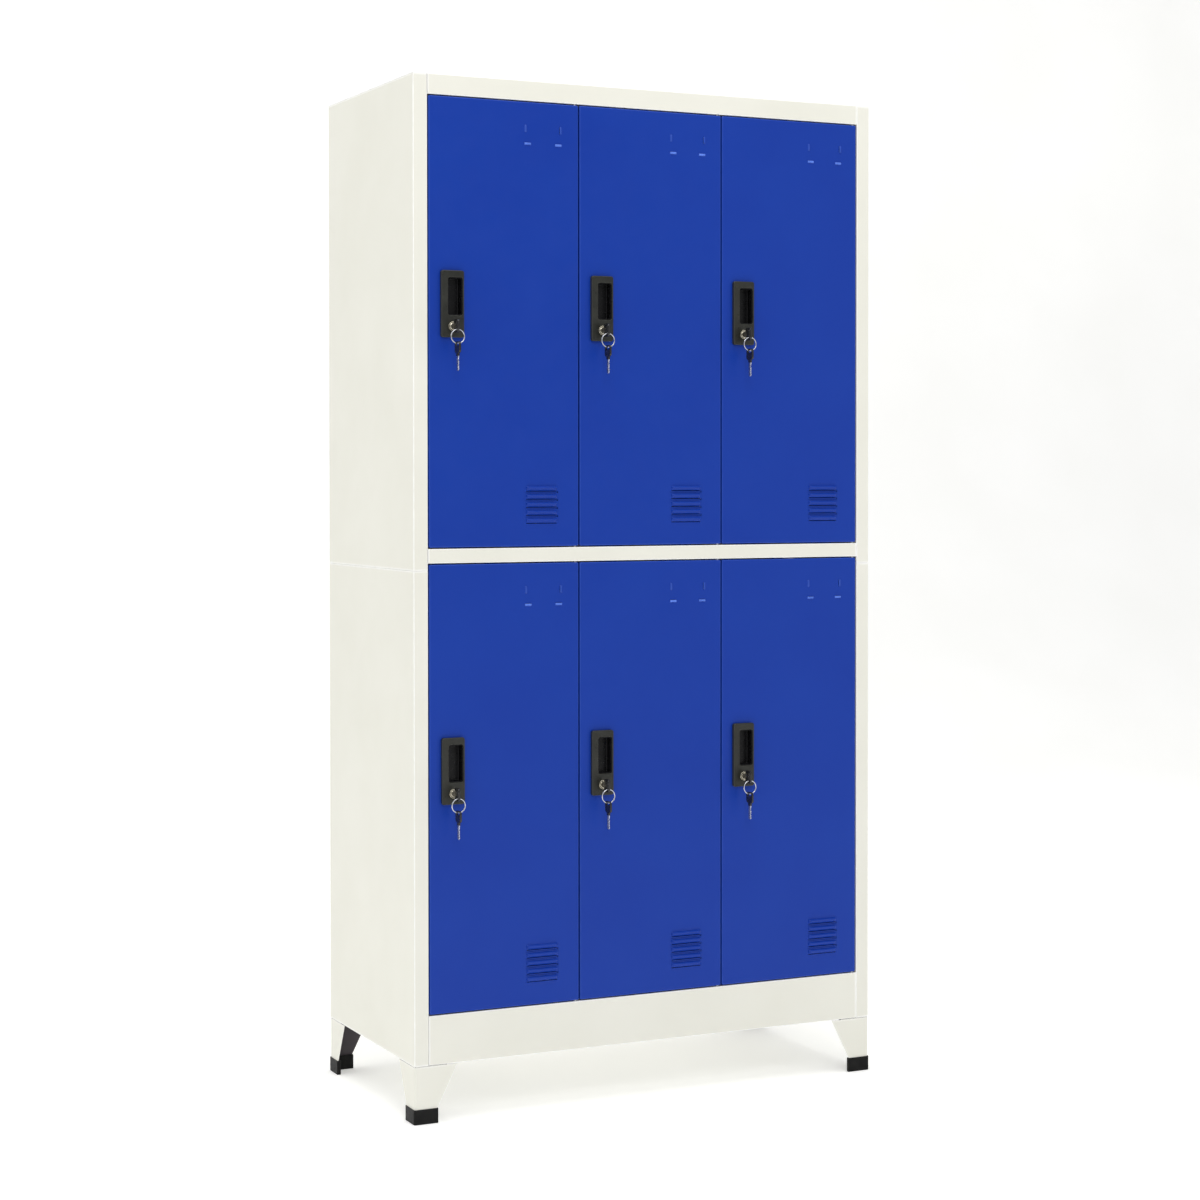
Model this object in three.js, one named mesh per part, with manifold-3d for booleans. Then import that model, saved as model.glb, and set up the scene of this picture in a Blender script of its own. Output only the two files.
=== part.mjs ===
// A six-door steel school locker: two tiers of three compartments on four tapered legs.
// Millimetres, +Z up, +X to the right of someone facing the doors, +Y towards the back.
// The origin is on the floor, at the middle of the whole object.
import * as THREE from "three";
import { mergeVertices } from "three/addons/utils/BufferGeometryUtils.js";
import Module from "manifold-3d";

const wasm = await Module();
wasm.setup();

// ---------------------------------------------------------------- driving dimensions

const GAP = 0.3; // between pieces that touch
const SHEET = 0.7; // folded steel sheet
const FOLD = 15; // plain stiffening folds

const BODY_WIDTH = 900;
const BODY_DEPTH = 450;
const HEIGHT = 1800;
const LEG_HEIGHT = 100;
const SEAM_HEIGHT = 950; // between the lower and upper halves of the sides and back

const STILE_WIDTH = 26; // front fold of each side panel
const STILE_DEPTH = 20;
const STRIKE_WIDTH = 12; // flange behind the door edge that the lock's cam catches
const TOP_RAIL = 35;
const MID_RAIL = 25;
const PLINTH = 85;
const OPENING_HEIGHT = 777.5;

const COLUMNS = ["left", "middle", "right"];
const TIERS = ["lower", "upper"];
const DOOR_GAP = 2;
const DOOR_DEPTH = 17;
const DOOR_LIP = 12;
const PIN_RADIUS = 2.5;
const PIN_HOLE_RADIUS = 3.2;
const PIN_REACH = 9; // past the door's top and bottom edges
const PIN_FROM_EDGE = 6;
const PIN_FROM_FRONT = 4;

const LOUVRES = 5;
const LOUVRE_WIDTH = 58;
const LOUVRE_PITCH = 14;
const LOUVRE_RISE = 8;
const LOUVRE_PROUD = 3.2;
const LOUVRE_FROM_EDGE = 42;
const LOUVRE_FROM_BOTTOM = 41;

const LABEL_FROM_EDGE = 32;
const LABEL_FROM_TOP = 75;
const LABEL_WIDTH = 71; // over the two bottom tabs
const LABEL_TAB = 15;
const LABEL_TAB_WIDTH = 4;
const LABEL_SIDE_TAB = 13;
const LABEL_SIDE_RISE = 22; // from the bottom tabs up to the side tabs
const LABEL_PROUD = 1.5;

const HOUSING = { left: 20.5, bottom: 360.5, width: 42, height: 115, proud: 7, corner: 4 };
const RECESS = { left: 12, top: 12, width: 27, height: 65, depth: 11.5, wall: 1.6 };
const LOCK_FROM_LEFT = 21; // lock axis inside the housing
const LOCK_FROM_TOP = 96;
const LOCK_BOSS_RADIUS = 9;
const LOCK_BOSS_DEPTH = 18;

const PLUG_RADIUS = 6;
const PLUG_BORE_RADIUS = 6.5;
const PLUG_RIM_RADIUS = 8.2;
const PLUG_RIM = 1.6;
const KEYWAY = { width: 2.8, height: 8.8, depth: 27 };
const CAM = { reach: 37.5, width: 14, thickness: 2, from: 24.5 };

const BOW = { length: 20, width: 23, thickness: 3.6, corner: 6, slot: 15, slotWidth: 4.4, slotFromEnd: 4.5 };
const KEY_NECK = { length: 5, width: 9 };
const BLADE = { length: 25, width: 7.6, thickness: 2 };
const RING_RADIUS = 12;
const RING_WIRE_RADIUS = 0.9;

const LEG_SHEET = 1.5;
const LEG_TOP = 78;
const LEG_BOTTOM = 42;
const LEG_FLANGE = 60;
const CAP = { height: 26, arm: 44.5, thickness: 7.5, proud: 1.5, floor: 2.5 };

// ---------------------------------------------------------------- worked out from them

const GRID = 1 / 128; // vertices keep to this grid, so that faces that meet share exact numbers

const PLUG_FACE = HOUSING.proud + GAP * 2 + PLUG_RIM; // in front of the door's face
const KEY_FRONT = PLUG_FACE + GAP + KEY_NECK.length + BOW.length; // in front of the door's face
const RING_FRONT = KEY_FRONT - BOW.slotFromEnd; // the plane that the key ring hangs in
const OBJECT_FRONT = RING_FRONT + BOW.width / 2; // the spare key's edge is foremost
const FRONT = -BODY_DEPTH / 2 + (OBJECT_FRONT - CAP.proud) / 2; // of doors and stiles
const BACK = FRONT + BODY_DEPTH;
const HALF = BODY_WIDTH / 2;
const OPENING_HALF = HALF - STILE_WIDTH;
const DOOR_WIDTH = (2 * OPENING_HALF - (COLUMNS.length + 1) * DOOR_GAP) / COLUMNS.length;
const DOOR_HEIGHT = OPENING_HEIGHT - 2 * DOOR_GAP;
const DOOR_PITCH = DOOR_WIDTH + DOOR_GAP;
const FLOOR_TOP = LEG_HEIGHT + PLINTH;
const MID_BOTTOM = FLOOR_TOP + OPENING_HEIGHT;
const SHELF_TOP = MID_BOTTOM + MID_RAIL;
const TOP_BOTTOM = SHELF_TOP + OPENING_HEIGHT;
const DIVIDERS_X = [-DOOR_PITCH / 2, DOOR_PITCH / 2];
const doorLeft = (column) => -OPENING_HALF + DOOR_GAP + column * DOOR_PITCH;
const PINS_X = COLUMNS.map((_, column) => doorLeft(column) + DOOR_WIDTH - PIN_FROM_EDGE);
const LOCK_X = HOUSING.left + LOCK_FROM_LEFT;
const LOCK_Z = HOUSING.bottom + HOUSING.height - LOCK_FROM_TOP;

// ---------------------------------------------------------------- materials

const paint = (colour) =>
  new THREE.MeshStandardMaterial({ color: colour, roughness: 0.45, metalness: 0.1 });
const CREAM = paint(0xeceae0);
const BLUE = paint(0x2040a5);
const BLACK = new THREE.MeshStandardMaterial({ color: 0x2a2a27, roughness: 0.5, metalness: 0 });
const CHROME = new THREE.MeshStandardMaterial({ color: 0xc9c9c6, roughness: 0.2, metalness: 1 });
const STEEL = new THREE.MeshStandardMaterial({ color: 0x9a9a98, roughness: 0.35, metalness: 1 });

// ---------------------------------------------------------------- solids

// A closed three.js geometry as a solid that can be joined and cut.
function solid(geometry) {
  const bare = geometry.index ? geometry.toNonIndexed() : geometry.clone();
  bare.deleteAttribute("normal");
  bare.deleteAttribute("uv");
  const place = bare.attributes.position;
  place.array.forEach((value, i) => (place.array[i] = Math.round(value / GRID) * GRID));
  const merged = mergeVertices(bare, GRID / 4);
  return new wasm.Manifold(
    new wasm.Mesh({
      numProp: 3,
      vertProperties: merged.attributes.position.array,
      triVerts: new Uint32Array(merged.index.array),
    }),
  );
}

// The solid's surface as a geometry, with flat shading. Each flat face keeps only the vertices it needs.
function surface(body) {
  const mesh = body.asOriginal().simplify(GRID / 2).getMesh();
  const indexed = new THREE.BufferGeometry()
    .setAttribute("position", new THREE.BufferAttribute(mesh.vertProperties, 3))
    .setIndex(new THREE.BufferAttribute(mesh.triVerts, 1));
  const flat = indexed.toNonIndexed();
  flat.computeVertexNormals();
  return flat;
}

const join = (first, ...rest) => rest.reduce((all, next) => all.add(next), first);
const cut = (first, ...rest) => rest.reduce((left, next) => left.subtract(next), first);

function box([x0, x1], [y0, y1], [z0, z1]) {
  const shape = new THREE.BoxGeometry(x1 - x0, y1 - y0, z1 - z0);
  return solid(shape.translate((x0 + x1) / 2, (y0 + y1) / 2, (z0 + z1) / 2));
}

function extrude(shape, depth, curveSegments = 4) {
  return new THREE.ExtrudeGeometry(shape, { depth, bevelEnabled: false, curveSegments });
}

// A cylinder along Z from z0 to z1.
function post(radius, x, y, [z0, z1], sides = 8) {
  const shape = new THREE.CylinderGeometry(radius, radius, z1 - z0, sides).rotateX(Math.PI / 2);
  return solid(shape.translate(x, y, (z0 + z1) / 2));
}

// A cylinder along Y from y0 to y1.
function rod(radius, x, z, [y0, y1], sides = 16) {
  const shape = new THREE.CylinderGeometry(radius, radius, y1 - y0, sides);
  return solid(shape.translate(x, (y0 + y1) / 2, z));
}

// A rectangle with round corners, its lower left corner at (x, y).
function roundedShape(x, y, width, height, radius) {
  const shape = new THREE.Shape();
  shape.moveTo(x + radius, y);
  shape.lineTo(x + width - radius, y);
  shape.absarc(x + width - radius, y + radius, radius, -Math.PI / 2, 0);
  shape.lineTo(x + width, y + height - radius);
  shape.absarc(x + width - radius, y + height - radius, radius, 0, Math.PI / 2);
  shape.lineTo(x + radius, y + height);
  shape.absarc(x + radius, y + height - radius, radius, Math.PI / 2, Math.PI);
  shape.lineTo(x, y + radius);
  shape.absarc(x + radius, y + radius, radius, Math.PI, 1.5 * Math.PI);
  return shape;
}

// A shape drawn in X and Z, as a plate from y0 to y1.
function facePlate(shape, [y0, y1], curveSegments = 4) {
  return solid(extrude(shape, y1 - y0, curveSegments).rotateX(Math.PI / 2).translate(0, y1, 0));
}

// A shape drawn in Y and Z, as a plate from x0 to x1.
function sidePlate(shape, [x0, x1], curveSegments = 4) {
  const turned = extrude(shape, x1 - x0, curveSegments).rotateX(Math.PI / 2).rotateZ(Math.PI / 2);
  return solid(turned.translate(x0, 0, 0));
}

function mesh(name, geometry, material) {
  const made = new THREE.Mesh(geometry, material);
  made.name = name;
  return made;
}

// ---------------------------------------------------------------- carcass

// The left side: outer wall, the boxed front stile with its strike flange, and rear, top and bottom folds.
function sidePanel(bottom, top, foldHeights) {
  const z = [bottom, top];
  const stileInner = -HALF + STILE_WIDTH;
  const flangeY = [FRONT + STILE_DEPTH, FRONT + STILE_DEPTH + SHEET];
  return join(
    box([-HALF, -HALF + SHEET], [FRONT, BACK], z),
    box([-HALF, stileInner], [FRONT, FRONT + SHEET], z),
    box([stileInner - SHEET, stileInner], [FRONT, flangeY[1]], z),
    box([stileInner - SHEET, stileInner + STRIKE_WIDTH], flangeY, z),
    box([-HALF, -HALF + FOLD], [BACK - SHEET, BACK], z),
    ...foldHeights.map((height) =>
      box([-HALF, -HALF + FOLD], [FRONT + LEG_TOP, BACK - LEG_TOP], [height, height + SHEET]),
    ),
  );
}

// Holes for the doors' hinge pins through a level sheet.
const pinHoles = (z) =>
  PINS_X.map((x) => post(PIN_HOLE_RADIUS, x, FRONT + PIN_FROM_FRONT, [z - SHEET, z + 2 * SHEET]));

// A level sheet that reaches forward between the stiles and their strike flanges.
function levelSheet(bottom) {
  const z = [bottom, bottom + SHEET];
  const front = OPENING_HALF - GAP;
  const neck = OPENING_HALF - STRIKE_WIDTH - GAP;
  const neckFrom = FRONT + STILE_DEPTH - GAP;
  const neckTo = FRONT + STILE_DEPTH + SHEET + GAP;
  const wide = HALF - SHEET - GAP;
  const rear = BACK - 2 * (SHEET + GAP);
  return join(
    box([-front, front], [FRONT, neckFrom], z),
    box([-neck, neck], [neckFrom - 1, neckTo + 1], z),
    box([-wide, wide], [neckTo, rear], z),
    box([-wide, wide], [rear - SHEET, rear], [bottom - FOLD, bottom + SHEET]),
  );
}

// A front rail's face, with a return fold at the height of fold.
function rail(bottom, top, fold) {
  const x = [-OPENING_HALF + GAP, OPENING_HALF - GAP];
  return join(
    box(x, [FRONT, FRONT + SHEET], [bottom, top]),
    box(x, [FRONT, FRONT + STILE_DEPTH - GAP], [fold, fold + SHEET]),
  );
}

function topPanel() {
  const lidBottom = HEIGHT - SHEET;
  const rearFold = HALF - FOLD - GAP;
  return cut(
    join(
      box([-HALF, HALF], [FRONT, BACK], [lidBottom, HEIGHT]),
      rail(TOP_BOTTOM, HEIGHT, TOP_BOTTOM),
      box([-rearFold, rearFold], [BACK - SHEET, BACK], [HEIGHT - FOLD, HEIGHT]),
    ),
    ...pinHoles(TOP_BOTTOM),
  );
}

function midShelf() {
  const sheet = SHELF_TOP - SHEET;
  return cut(
    join(levelSheet(sheet), rail(MID_BOTTOM, SHELF_TOP, MID_BOTTOM)),
    ...pinHoles(sheet),
    ...pinHoles(MID_BOTTOM),
  );
}

function bottomPanel() {
  const sheet = FLOOR_TOP - SHEET;
  return cut(join(levelSheet(sheet), rail(LEG_HEIGHT, FLOOR_TOP, LEG_HEIGHT)), ...pinHoles(sheet));
}

// A wall between compartments, with a doubled front flange that both neighbouring doors close against.
function divider(x, bottom, top) {
  const z = [bottom, top];
  const flange = [FRONT + STILE_DEPTH, FRONT + STILE_DEPTH + 2 * SHEET];
  const reach = STRIKE_WIDTH + DOOR_GAP / 2;
  return join(
    box([x - SHEET / 2, x + SHEET / 2], [flange[0], BACK - 3 * (SHEET + GAP)], z),
    box([x - reach, x + reach], flange, z),
  );
}

function backPanel(bottom, top) {
  const half = HALF - SHEET - GAP;
  return box([-half, half], [BACK - 2 * SHEET - GAP, BACK - SHEET - GAP], [bottom, top]);
}

// ---------------------------------------------------------------- legs

// One tapering flange of a leg, in distance from the outer corner and height.
function legOutline() {
  const top = LEG_HEIGHT - GAP;
  const foot = CAP.floor + GAP;
  const inCap = CAP.arm - CAP.proud - 2.5;
  const shape = new THREE.Shape();
  shape.moveTo(0, foot);
  shape.lineTo(inCap, foot);
  shape.lineTo(inCap, CAP.height + GAP);
  shape.lineTo(LEG_BOTTOM, CAP.height + GAP);
  shape.lineTo(LEG_TOP, top);
  shape.lineTo(0, top);
  return shape;
}

// A leg with its outer corner at the origin, its flanges along +X and +Y.
function leg() {
  const top = LEG_HEIGHT - GAP;
  return join(
    facePlate(legOutline(), [0, LEG_SHEET]),
    sidePlate(legOutline(), [0, LEG_SHEET]),
    box([0, LEG_FLANGE], [0, LEG_FLANGE], [top - LEG_SHEET, top]),
  );
}

// An L-shaped cap that the leg's foot stands in.
function footCap() {
  const low = -CAP.proud;
  const far = CAP.arm + low;
  const across = CAP.thickness + low;
  const pocket = [-GAP, LEG_SHEET + GAP];
  const pocketFar = far - 2;
  const pocketZ = [CAP.floor, CAP.height + 1];
  return cut(
    join(
      box([low, far], [low, across], [0, CAP.height]),
      box([low, across], [low, far], [0, CAP.height]),
    ),
    box([-GAP, pocketFar], pocket, pocketZ),
    box(pocket, [-GAP, pocketFar], pocketZ),
  );
}

// ---------------------------------------------------------------- door and lock
// Measured from the door's lower left front corner.

// The sloping hood of a louvre, in Y and Z, its wall thickness in from the outside.
function louvreOutline(wall) {
  const back = wall ? SHEET + 1 : SHEET / 2;
  const shape = new THREE.Shape();
  shape.moveTo(back, wall ? -wall : 0);
  shape.lineTo(back, LOUVRE_RISE - 2 * wall);
  shape.lineTo(0, LOUVRE_RISE - 2 * wall);
  shape.lineTo(wall - LOUVRE_PROUD, wall ? -wall : 0);
  return shape;
}

function louvreHoods(wall) {
  const right = DOOR_WIDTH - LOUVRE_FROM_EDGE - wall;
  const left = DOOR_WIDTH - LOUVRE_FROM_EDGE - LOUVRE_WIDTH + wall;
  return Array.from({ length: LOUVRES }, (_, i) =>
    sidePlate(louvreOutline(wall), [left, right]).translate([0, 0, LOUVRE_FROM_BOTTOM + i * LOUVRE_PITCH]),
  );
}

// Four pressed tabs that hold a name card.
function labelTabs() {
  const right = DOOR_WIDTH - LABEL_FROM_EDGE;
  const left = right - LABEL_WIDTH;
  const low = DOOR_HEIGHT - LABEL_FROM_TOP;
  const y = [-LABEL_PROUD, SHEET / 2];
  const side = [low + LABEL_SIDE_RISE, low + LABEL_SIDE_RISE + LABEL_SIDE_TAB];
  return [
    box([left, left + LABEL_TAB], y, [low, low + LABEL_TAB_WIDTH]),
    box([right - LABEL_TAB, right], y, [low, low + LABEL_TAB_WIDTH]),
    box([left, left + LABEL_TAB_WIDTH], y, side),
    box([right - LABEL_TAB_WIDTH, right], y, side),
  ];
}

function door() {
  const w = DOOR_WIDTH;
  const h = DOOR_HEIGHT;
  const pinX = w - PIN_FROM_EDGE;
  const cupLeft = HOUSING.left + RECESS.left - RECESS.wall - GAP;
  const cupRight = HOUSING.left + RECESS.left + RECESS.width + RECESS.wall + GAP;
  const cupTop = HOUSING.bottom + HOUSING.height - RECESS.top + RECESS.wall + GAP;
  const pan = cut(
    box([0, w], [0, DOOR_DEPTH], [0, h]),
    box([SHEET, w - SHEET], [SHEET, DOOR_DEPTH - SHEET], [SHEET, h - SHEET]),
    box([DOOR_LIP, w - DOOR_LIP], [DOOR_DEPTH / 2, DOOR_DEPTH + 1], [DOOR_LIP, h - DOOR_LIP]),
  );
  const dressed = join(
    pan,
    ...louvreHoods(0),
    ...labelTabs(),
    post(PIN_RADIUS, pinX, PIN_FROM_FRONT, [h - 2 * SHEET, h + PIN_REACH]),
    post(PIN_RADIUS, pinX, PIN_FROM_FRONT, [-PIN_REACH, 2 * SHEET]),
  );
  const lockCut = box(
    [cupLeft, cupRight],
    [-1, SHEET + 1],
    [LOCK_Z - LOCK_BOSS_RADIUS - GAP, cupTop],
  );
  return cut(dressed, ...louvreHoods(SHEET), lockCut);
}

// The moulded plate on the door's face, its finger recess and the boss that the lock plug turns in.
function lockHousing() {
  const face = -GAP - HOUSING.proud;
  const top = HOUSING.bottom + HOUSING.height;
  const left = HOUSING.left + RECESS.left;
  const recessX = [left, left + RECESS.width];
  const recessZ = [top - RECESS.top - RECESS.height, top - RECESS.top];
  const grow = ([a, b]) => [a - RECESS.wall, b + RECESS.wall];
  const plate = roundedShape(HOUSING.left, HOUSING.bottom, HOUSING.width, HOUSING.height, HOUSING.corner);
  return cut(
    join(
      facePlate(plate, [face, -GAP], 3),
      box(grow(recessX), [face / 2, RECESS.depth + RECESS.wall], grow(recessZ)),
      rod(LOCK_BOSS_RADIUS, LOCK_X, LOCK_Z, [face / 2, LOCK_BOSS_DEPTH]),
    ),
    box(recessX, [face - 1, RECESS.depth], recessZ),
    rod(PLUG_BORE_RADIUS, LOCK_X, LOCK_Z, [face - 1, LOCK_BOSS_DEPTH + 1]),
  );
}

// The turning plug, its rim in front of the housing, its keyway and the cam on its tail. The cam points down.
function lockPlug() {
  const camTo = CAM.from + CAM.thickness;
  const half = CAM.width / 2;
  const arm = new THREE.Shape();
  arm.moveTo(half, 0);
  arm.absarc(0, 0, half, 0, Math.PI);
  arm.lineTo(-half, -CAM.reach + half);
  arm.absarc(0, -CAM.reach + half, half, Math.PI, 2 * Math.PI);
  return cut(
    join(
      rod(PLUG_RADIUS, 0, 0, [-PLUG_FACE + PLUG_RIM / 2, CAM.from + CAM.thickness / 2]),
      rod(PLUG_RIM_RADIUS, 0, 0, [-PLUG_FACE, -PLUG_FACE + PLUG_RIM]),
      facePlate(arm, [CAM.from, camTo]),
    ),
    box(
      [-KEYWAY.width / 2, KEYWAY.width / 2],
      [-PLUG_FACE - 1, KEYWAY.depth - PLUG_FACE],
      [-KEYWAY.height / 2, KEYWAY.height / 2],
    ),
  );
}

// A key along Y: the bow's outer end at y = 0, the blade's tip at the far end. The bow stands in Y and Z.
function key() {
  const bow = roundedShape(0, -BOW.width / 2, BOW.length, BOW.width, BOW.corner);
  const half = BOW.slotWidth / 2;
  const slot = roundedShape(BOW.slotFromEnd - half, -BOW.slot / 2, BOW.slotWidth, BOW.slot, half - GRID);
  const x = [-BOW.thickness / 2, BOW.thickness / 2];
  const neckEnd = BOW.length + KEY_NECK.length;
  return cut(
    join(
      sidePlate(bow, x, 2),
      box(x, [BOW.length - 1, neckEnd], [-KEY_NECK.width / 2, KEY_NECK.width / 2]),
      box(
        [-BLADE.thickness / 2, BLADE.thickness / 2],
        [neckEnd - 1, neckEnd + BLADE.length],
        [-BLADE.width / 2, BLADE.width / 2],
      ),
    ),
    sidePlate(slot, [x[0] - 1, x[1] + 1], 2),
  );
}

// A round key ring in X and Z, its centre at the origin.
const keyRing = () => new THREE.TorusGeometry(RING_RADIUS, RING_WIRE_RADIUS, 5, 16).rotateX(Math.PI / 2);

// ---------------------------------------------------------------- assembly

const locker = new THREE.Group();
locker.name = "school_locker";

const lowerTop = SEAM_HEIGHT - GAP / 2;
const upperBottom = SEAM_HEIGHT + GAP / 2;
const underLid = HEIGHT - SHEET - GAP;

for (const [side, mirror] of [["left", 1], ["right", -1]]) {
  const group = new THREE.Group();
  group.scale.x = mirror;
  group.add(
    mesh(`lower_${side}_side`, surface(sidePanel(LEG_HEIGHT, lowerTop, [LEG_HEIGHT])), CREAM),
    mesh(`upper_${side}_side`, surface(sidePanel(upperBottom, underLid, [underLid - SHEET])), CREAM),
  );
  locker.add(group);
}

locker.add(
  mesh("top_panel", surface(topPanel()), CREAM),
  mesh("mid_shelf", surface(midShelf()), CREAM),
  mesh("bottom_panel", surface(bottomPanel()), CREAM),
  mesh("lower_back", surface(backPanel(LEG_HEIGHT, lowerTop)), CREAM),
  mesh("upper_back", surface(backPanel(upperBottom, underLid)), CREAM),
);

DIVIDERS_X.forEach((x, i) => {
  const place = ["left", "right"][i];
  locker.add(
    mesh(`lower_${place}_divider`, surface(divider(x, FLOOR_TOP + GAP, SHELF_TOP - SHEET - GAP)), CREAM),
    mesh(`upper_${place}_divider`, surface(divider(x, SHELF_TOP + GAP, underLid)), CREAM),
  );
});

const legSurface = surface(leg());
const capSurface = surface(footCap());
for (const [row, y, faceY] of [["front", FRONT, 1], ["back", BACK, -1]])
  for (const [side, x, faceX] of [["left", -HALF, 1], ["right", HALF, -1]]) {
    const corner = new THREE.Group();
    corner.position.set(x, y, 0);
    corner.scale.set(faceX, faceY, 1);
    corner.add(
      mesh(`${row}_${side}_leg`, legSurface, CREAM),
      mesh(`${row}_${side}_foot_cap`, capSurface, BLACK),
    );
    locker.add(corner);
  }

const doorSurface = surface(door());
const housingSurface = surface(lockHousing());
const plugSurface = surface(lockPlug());
const keySurface = surface(key());
const ringSurface = keyRing();

// Where the ring's wire lies in the key's slot, and where the spare key hangs from it.
const slotHalf = BOW.slotWidth / 2;
const ringTop = -BOW.slot / 2 + RING_WIRE_RADIUS + GAP;
const spareSlotTop = ringTop - 2 * RING_RADIUS + RING_WIRE_RADIUS + GAP;

TIERS.forEach((tier, row) =>
  COLUMNS.forEach((column, i) => {
    const unit = new THREE.Group();
    unit.position.set(doorLeft(i), FRONT, (row ? SHELF_TOP : FLOOR_TOP) + DOOR_GAP);
    unit.add(mesh(`${tier}_${column}_door`, doorSurface, BLUE));
    unit.add(mesh(`${tier}_${column}_lock_housing`, housingSurface, BLACK));

    const lock = new THREE.Group();
    lock.position.set(LOCK_X, 0, LOCK_Z);
    lock.add(mesh(`${tier}_${column}_lock_plug`, plugSurface, CHROME));

    const inserted = mesh(`${tier}_${column}_key`, keySurface, STEEL);
    inserted.position.y = -KEY_FRONT;
    lock.add(inserted);

    const ring = mesh(`${tier}_${column}_key_ring`, ringSurface, CHROME);
    ring.position.set(0, -RING_FRONT, ringTop - RING_RADIUS);
    lock.add(ring);

    const spare = mesh(`${tier}_${column}_spare_key`, keySurface, STEEL);
    spare.position.set(0, -RING_FRONT, spareSlotTop + BOW.slotFromEnd - slotHalf);
    spare.rotation.x = -Math.PI / 2;
    lock.add(spare);

    unit.add(lock);
    locker.add(unit);
  }),
);

export default locker;
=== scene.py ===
"""A six-door steel school locker on four tapered legs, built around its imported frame.

Folded sheet steel, moulded lock plates, plated locks and their keys are drawn in millimetres and turned to
metres when each piece is finished. Every place comes from the box of the frame node that a piece stands for.
"""

import logging
import math
from collections.abc import Iterable, Sequence
from dataclasses import dataclass, field
from enum import Enum
from typing import Any

import bmesh
import bpy
from mathutils import Matrix, Vector

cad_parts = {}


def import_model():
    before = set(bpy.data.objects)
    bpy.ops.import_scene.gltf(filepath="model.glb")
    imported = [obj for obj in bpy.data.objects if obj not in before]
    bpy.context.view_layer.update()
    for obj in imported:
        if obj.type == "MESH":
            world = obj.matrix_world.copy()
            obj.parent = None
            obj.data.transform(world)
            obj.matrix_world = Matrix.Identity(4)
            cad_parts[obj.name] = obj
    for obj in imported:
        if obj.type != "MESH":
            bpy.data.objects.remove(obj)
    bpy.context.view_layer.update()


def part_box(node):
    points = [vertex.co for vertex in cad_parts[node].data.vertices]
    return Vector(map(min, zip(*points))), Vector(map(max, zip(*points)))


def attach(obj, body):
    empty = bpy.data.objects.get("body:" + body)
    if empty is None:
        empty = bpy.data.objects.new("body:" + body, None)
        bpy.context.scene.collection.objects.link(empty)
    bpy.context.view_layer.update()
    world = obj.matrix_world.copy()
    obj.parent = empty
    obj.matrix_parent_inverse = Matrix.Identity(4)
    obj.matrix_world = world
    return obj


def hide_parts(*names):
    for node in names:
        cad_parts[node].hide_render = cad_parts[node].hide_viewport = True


LOG = logging.getLogger("school_locker")

MM = 0.001  # the frame is in metres
WELD = 0.001  # points closer than this are one point
SUPPORT = 3.5  # how far the paler edge colour, a worn look and a painted highlight, reaches into the flat beside it
# edges that fold more than this take the paler edge colour: a worn look and a painted highlight
WEAR_AND_HIGHLIGHT_ANGLE = math.radians(16.0)
SHARP_ANGLE = math.radians(55.0)
FLAT_FIRST = 80  # how strongly the largest face at a point sets its normal
WEAR_AND_HIGHLIGHT_PATCH = 14.0  # across one patch of the paler edge colour, worn look and painted highlight
NOISE_LOW = 0.3  # the range that noise seldom leaves
NOISE_HIGH = 0.7

Point = tuple[float, float]
Outline = list[Point]
Ring = list[bmesh.types.BMVert]


class Axis(Enum):
    """The direction that a flat outline is drawn out along."""

    X = "x"
    Y = "y"
    Z = "z"

    def place(self, u: float, v: float, level: float) -> Vector:
        """A point of an outline at its level along this axis.

        Args:
            u: The outline's first coordinate.
            v: Its second.
            level: How far along the axis it lies.

        Returns:
            The point in space.
        """
        if self is Axis.X:
            return Vector((level, u, v))
        if self is Axis.Y:
            return Vector((u, level, v))
        return Vector((u, v, level))


class Slot(Enum):
    """The record's material slots."""

    CARCASS = "carcass_paint"
    DOOR = "door_paint"
    FOOT = "foot_plastic"
    LOCK_PLASTIC = "lock_plastic"
    CHROME = "lock_chrome"
    KEY_PLASTIC = "key_plastic"
    RING = "ring_steel"


@dataclass(frozen=True)
class Extent:
    """The box that a frame node fills at rest, in millimetres."""

    x0: float
    x1: float
    y0: float
    y1: float
    z0: float
    z1: float

    @classmethod
    def of(cls, node: str) -> "Extent":
        """The extent of the named node."""
        low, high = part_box(node)
        return cls(*(value / MM for pair in zip(low, high) for value in pair))

    def seen_from(self, origin: Vector) -> "Extent":
        """The same box, measured from another origin.

        Args:
            origin: The new origin.

        Returns:
            The moved extent.
        """
        return Extent(
            self.x0 - origin.x,
            self.x1 - origin.x,
            self.y0 - origin.y,
            self.y1 - origin.y,
            self.z0 - origin.z,
            self.z1 - origin.z,
        )

    @property
    def centre(self) -> Vector:
        """The middle of the box."""
        return Vector(((self.x0 + self.x1) / 2, (self.y0 + self.y1) / 2, (self.z0 + self.z1) / 2))


# ---------------------------------------------------------------- flat outlines


def arc(centre: Point, radius: float, start: float, stop: float, steps: int) -> Outline:
    """Points on an arc, both ends included.

    Args:
        centre: The middle of the arc.
        radius: Its radius.
        start: The first angle in degrees.
        stop: The last angle in degrees.
        steps: How many chords it is cut into.

    Returns:
        The points in order.
    """
    angles = [math.radians(start + (stop - start) * i / steps) for i in range(steps + 1)]
    return [(centre[0] + radius * math.cos(a), centre[1] + radius * math.sin(a)) for a in angles]


def circle(u: float, v: float, radius: float, sides: int = 32) -> Outline:
    """A round outline, counter-clockwise."""
    return arc((u, v), radius, 0.0, 360.0, sides)[:-1]


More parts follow.
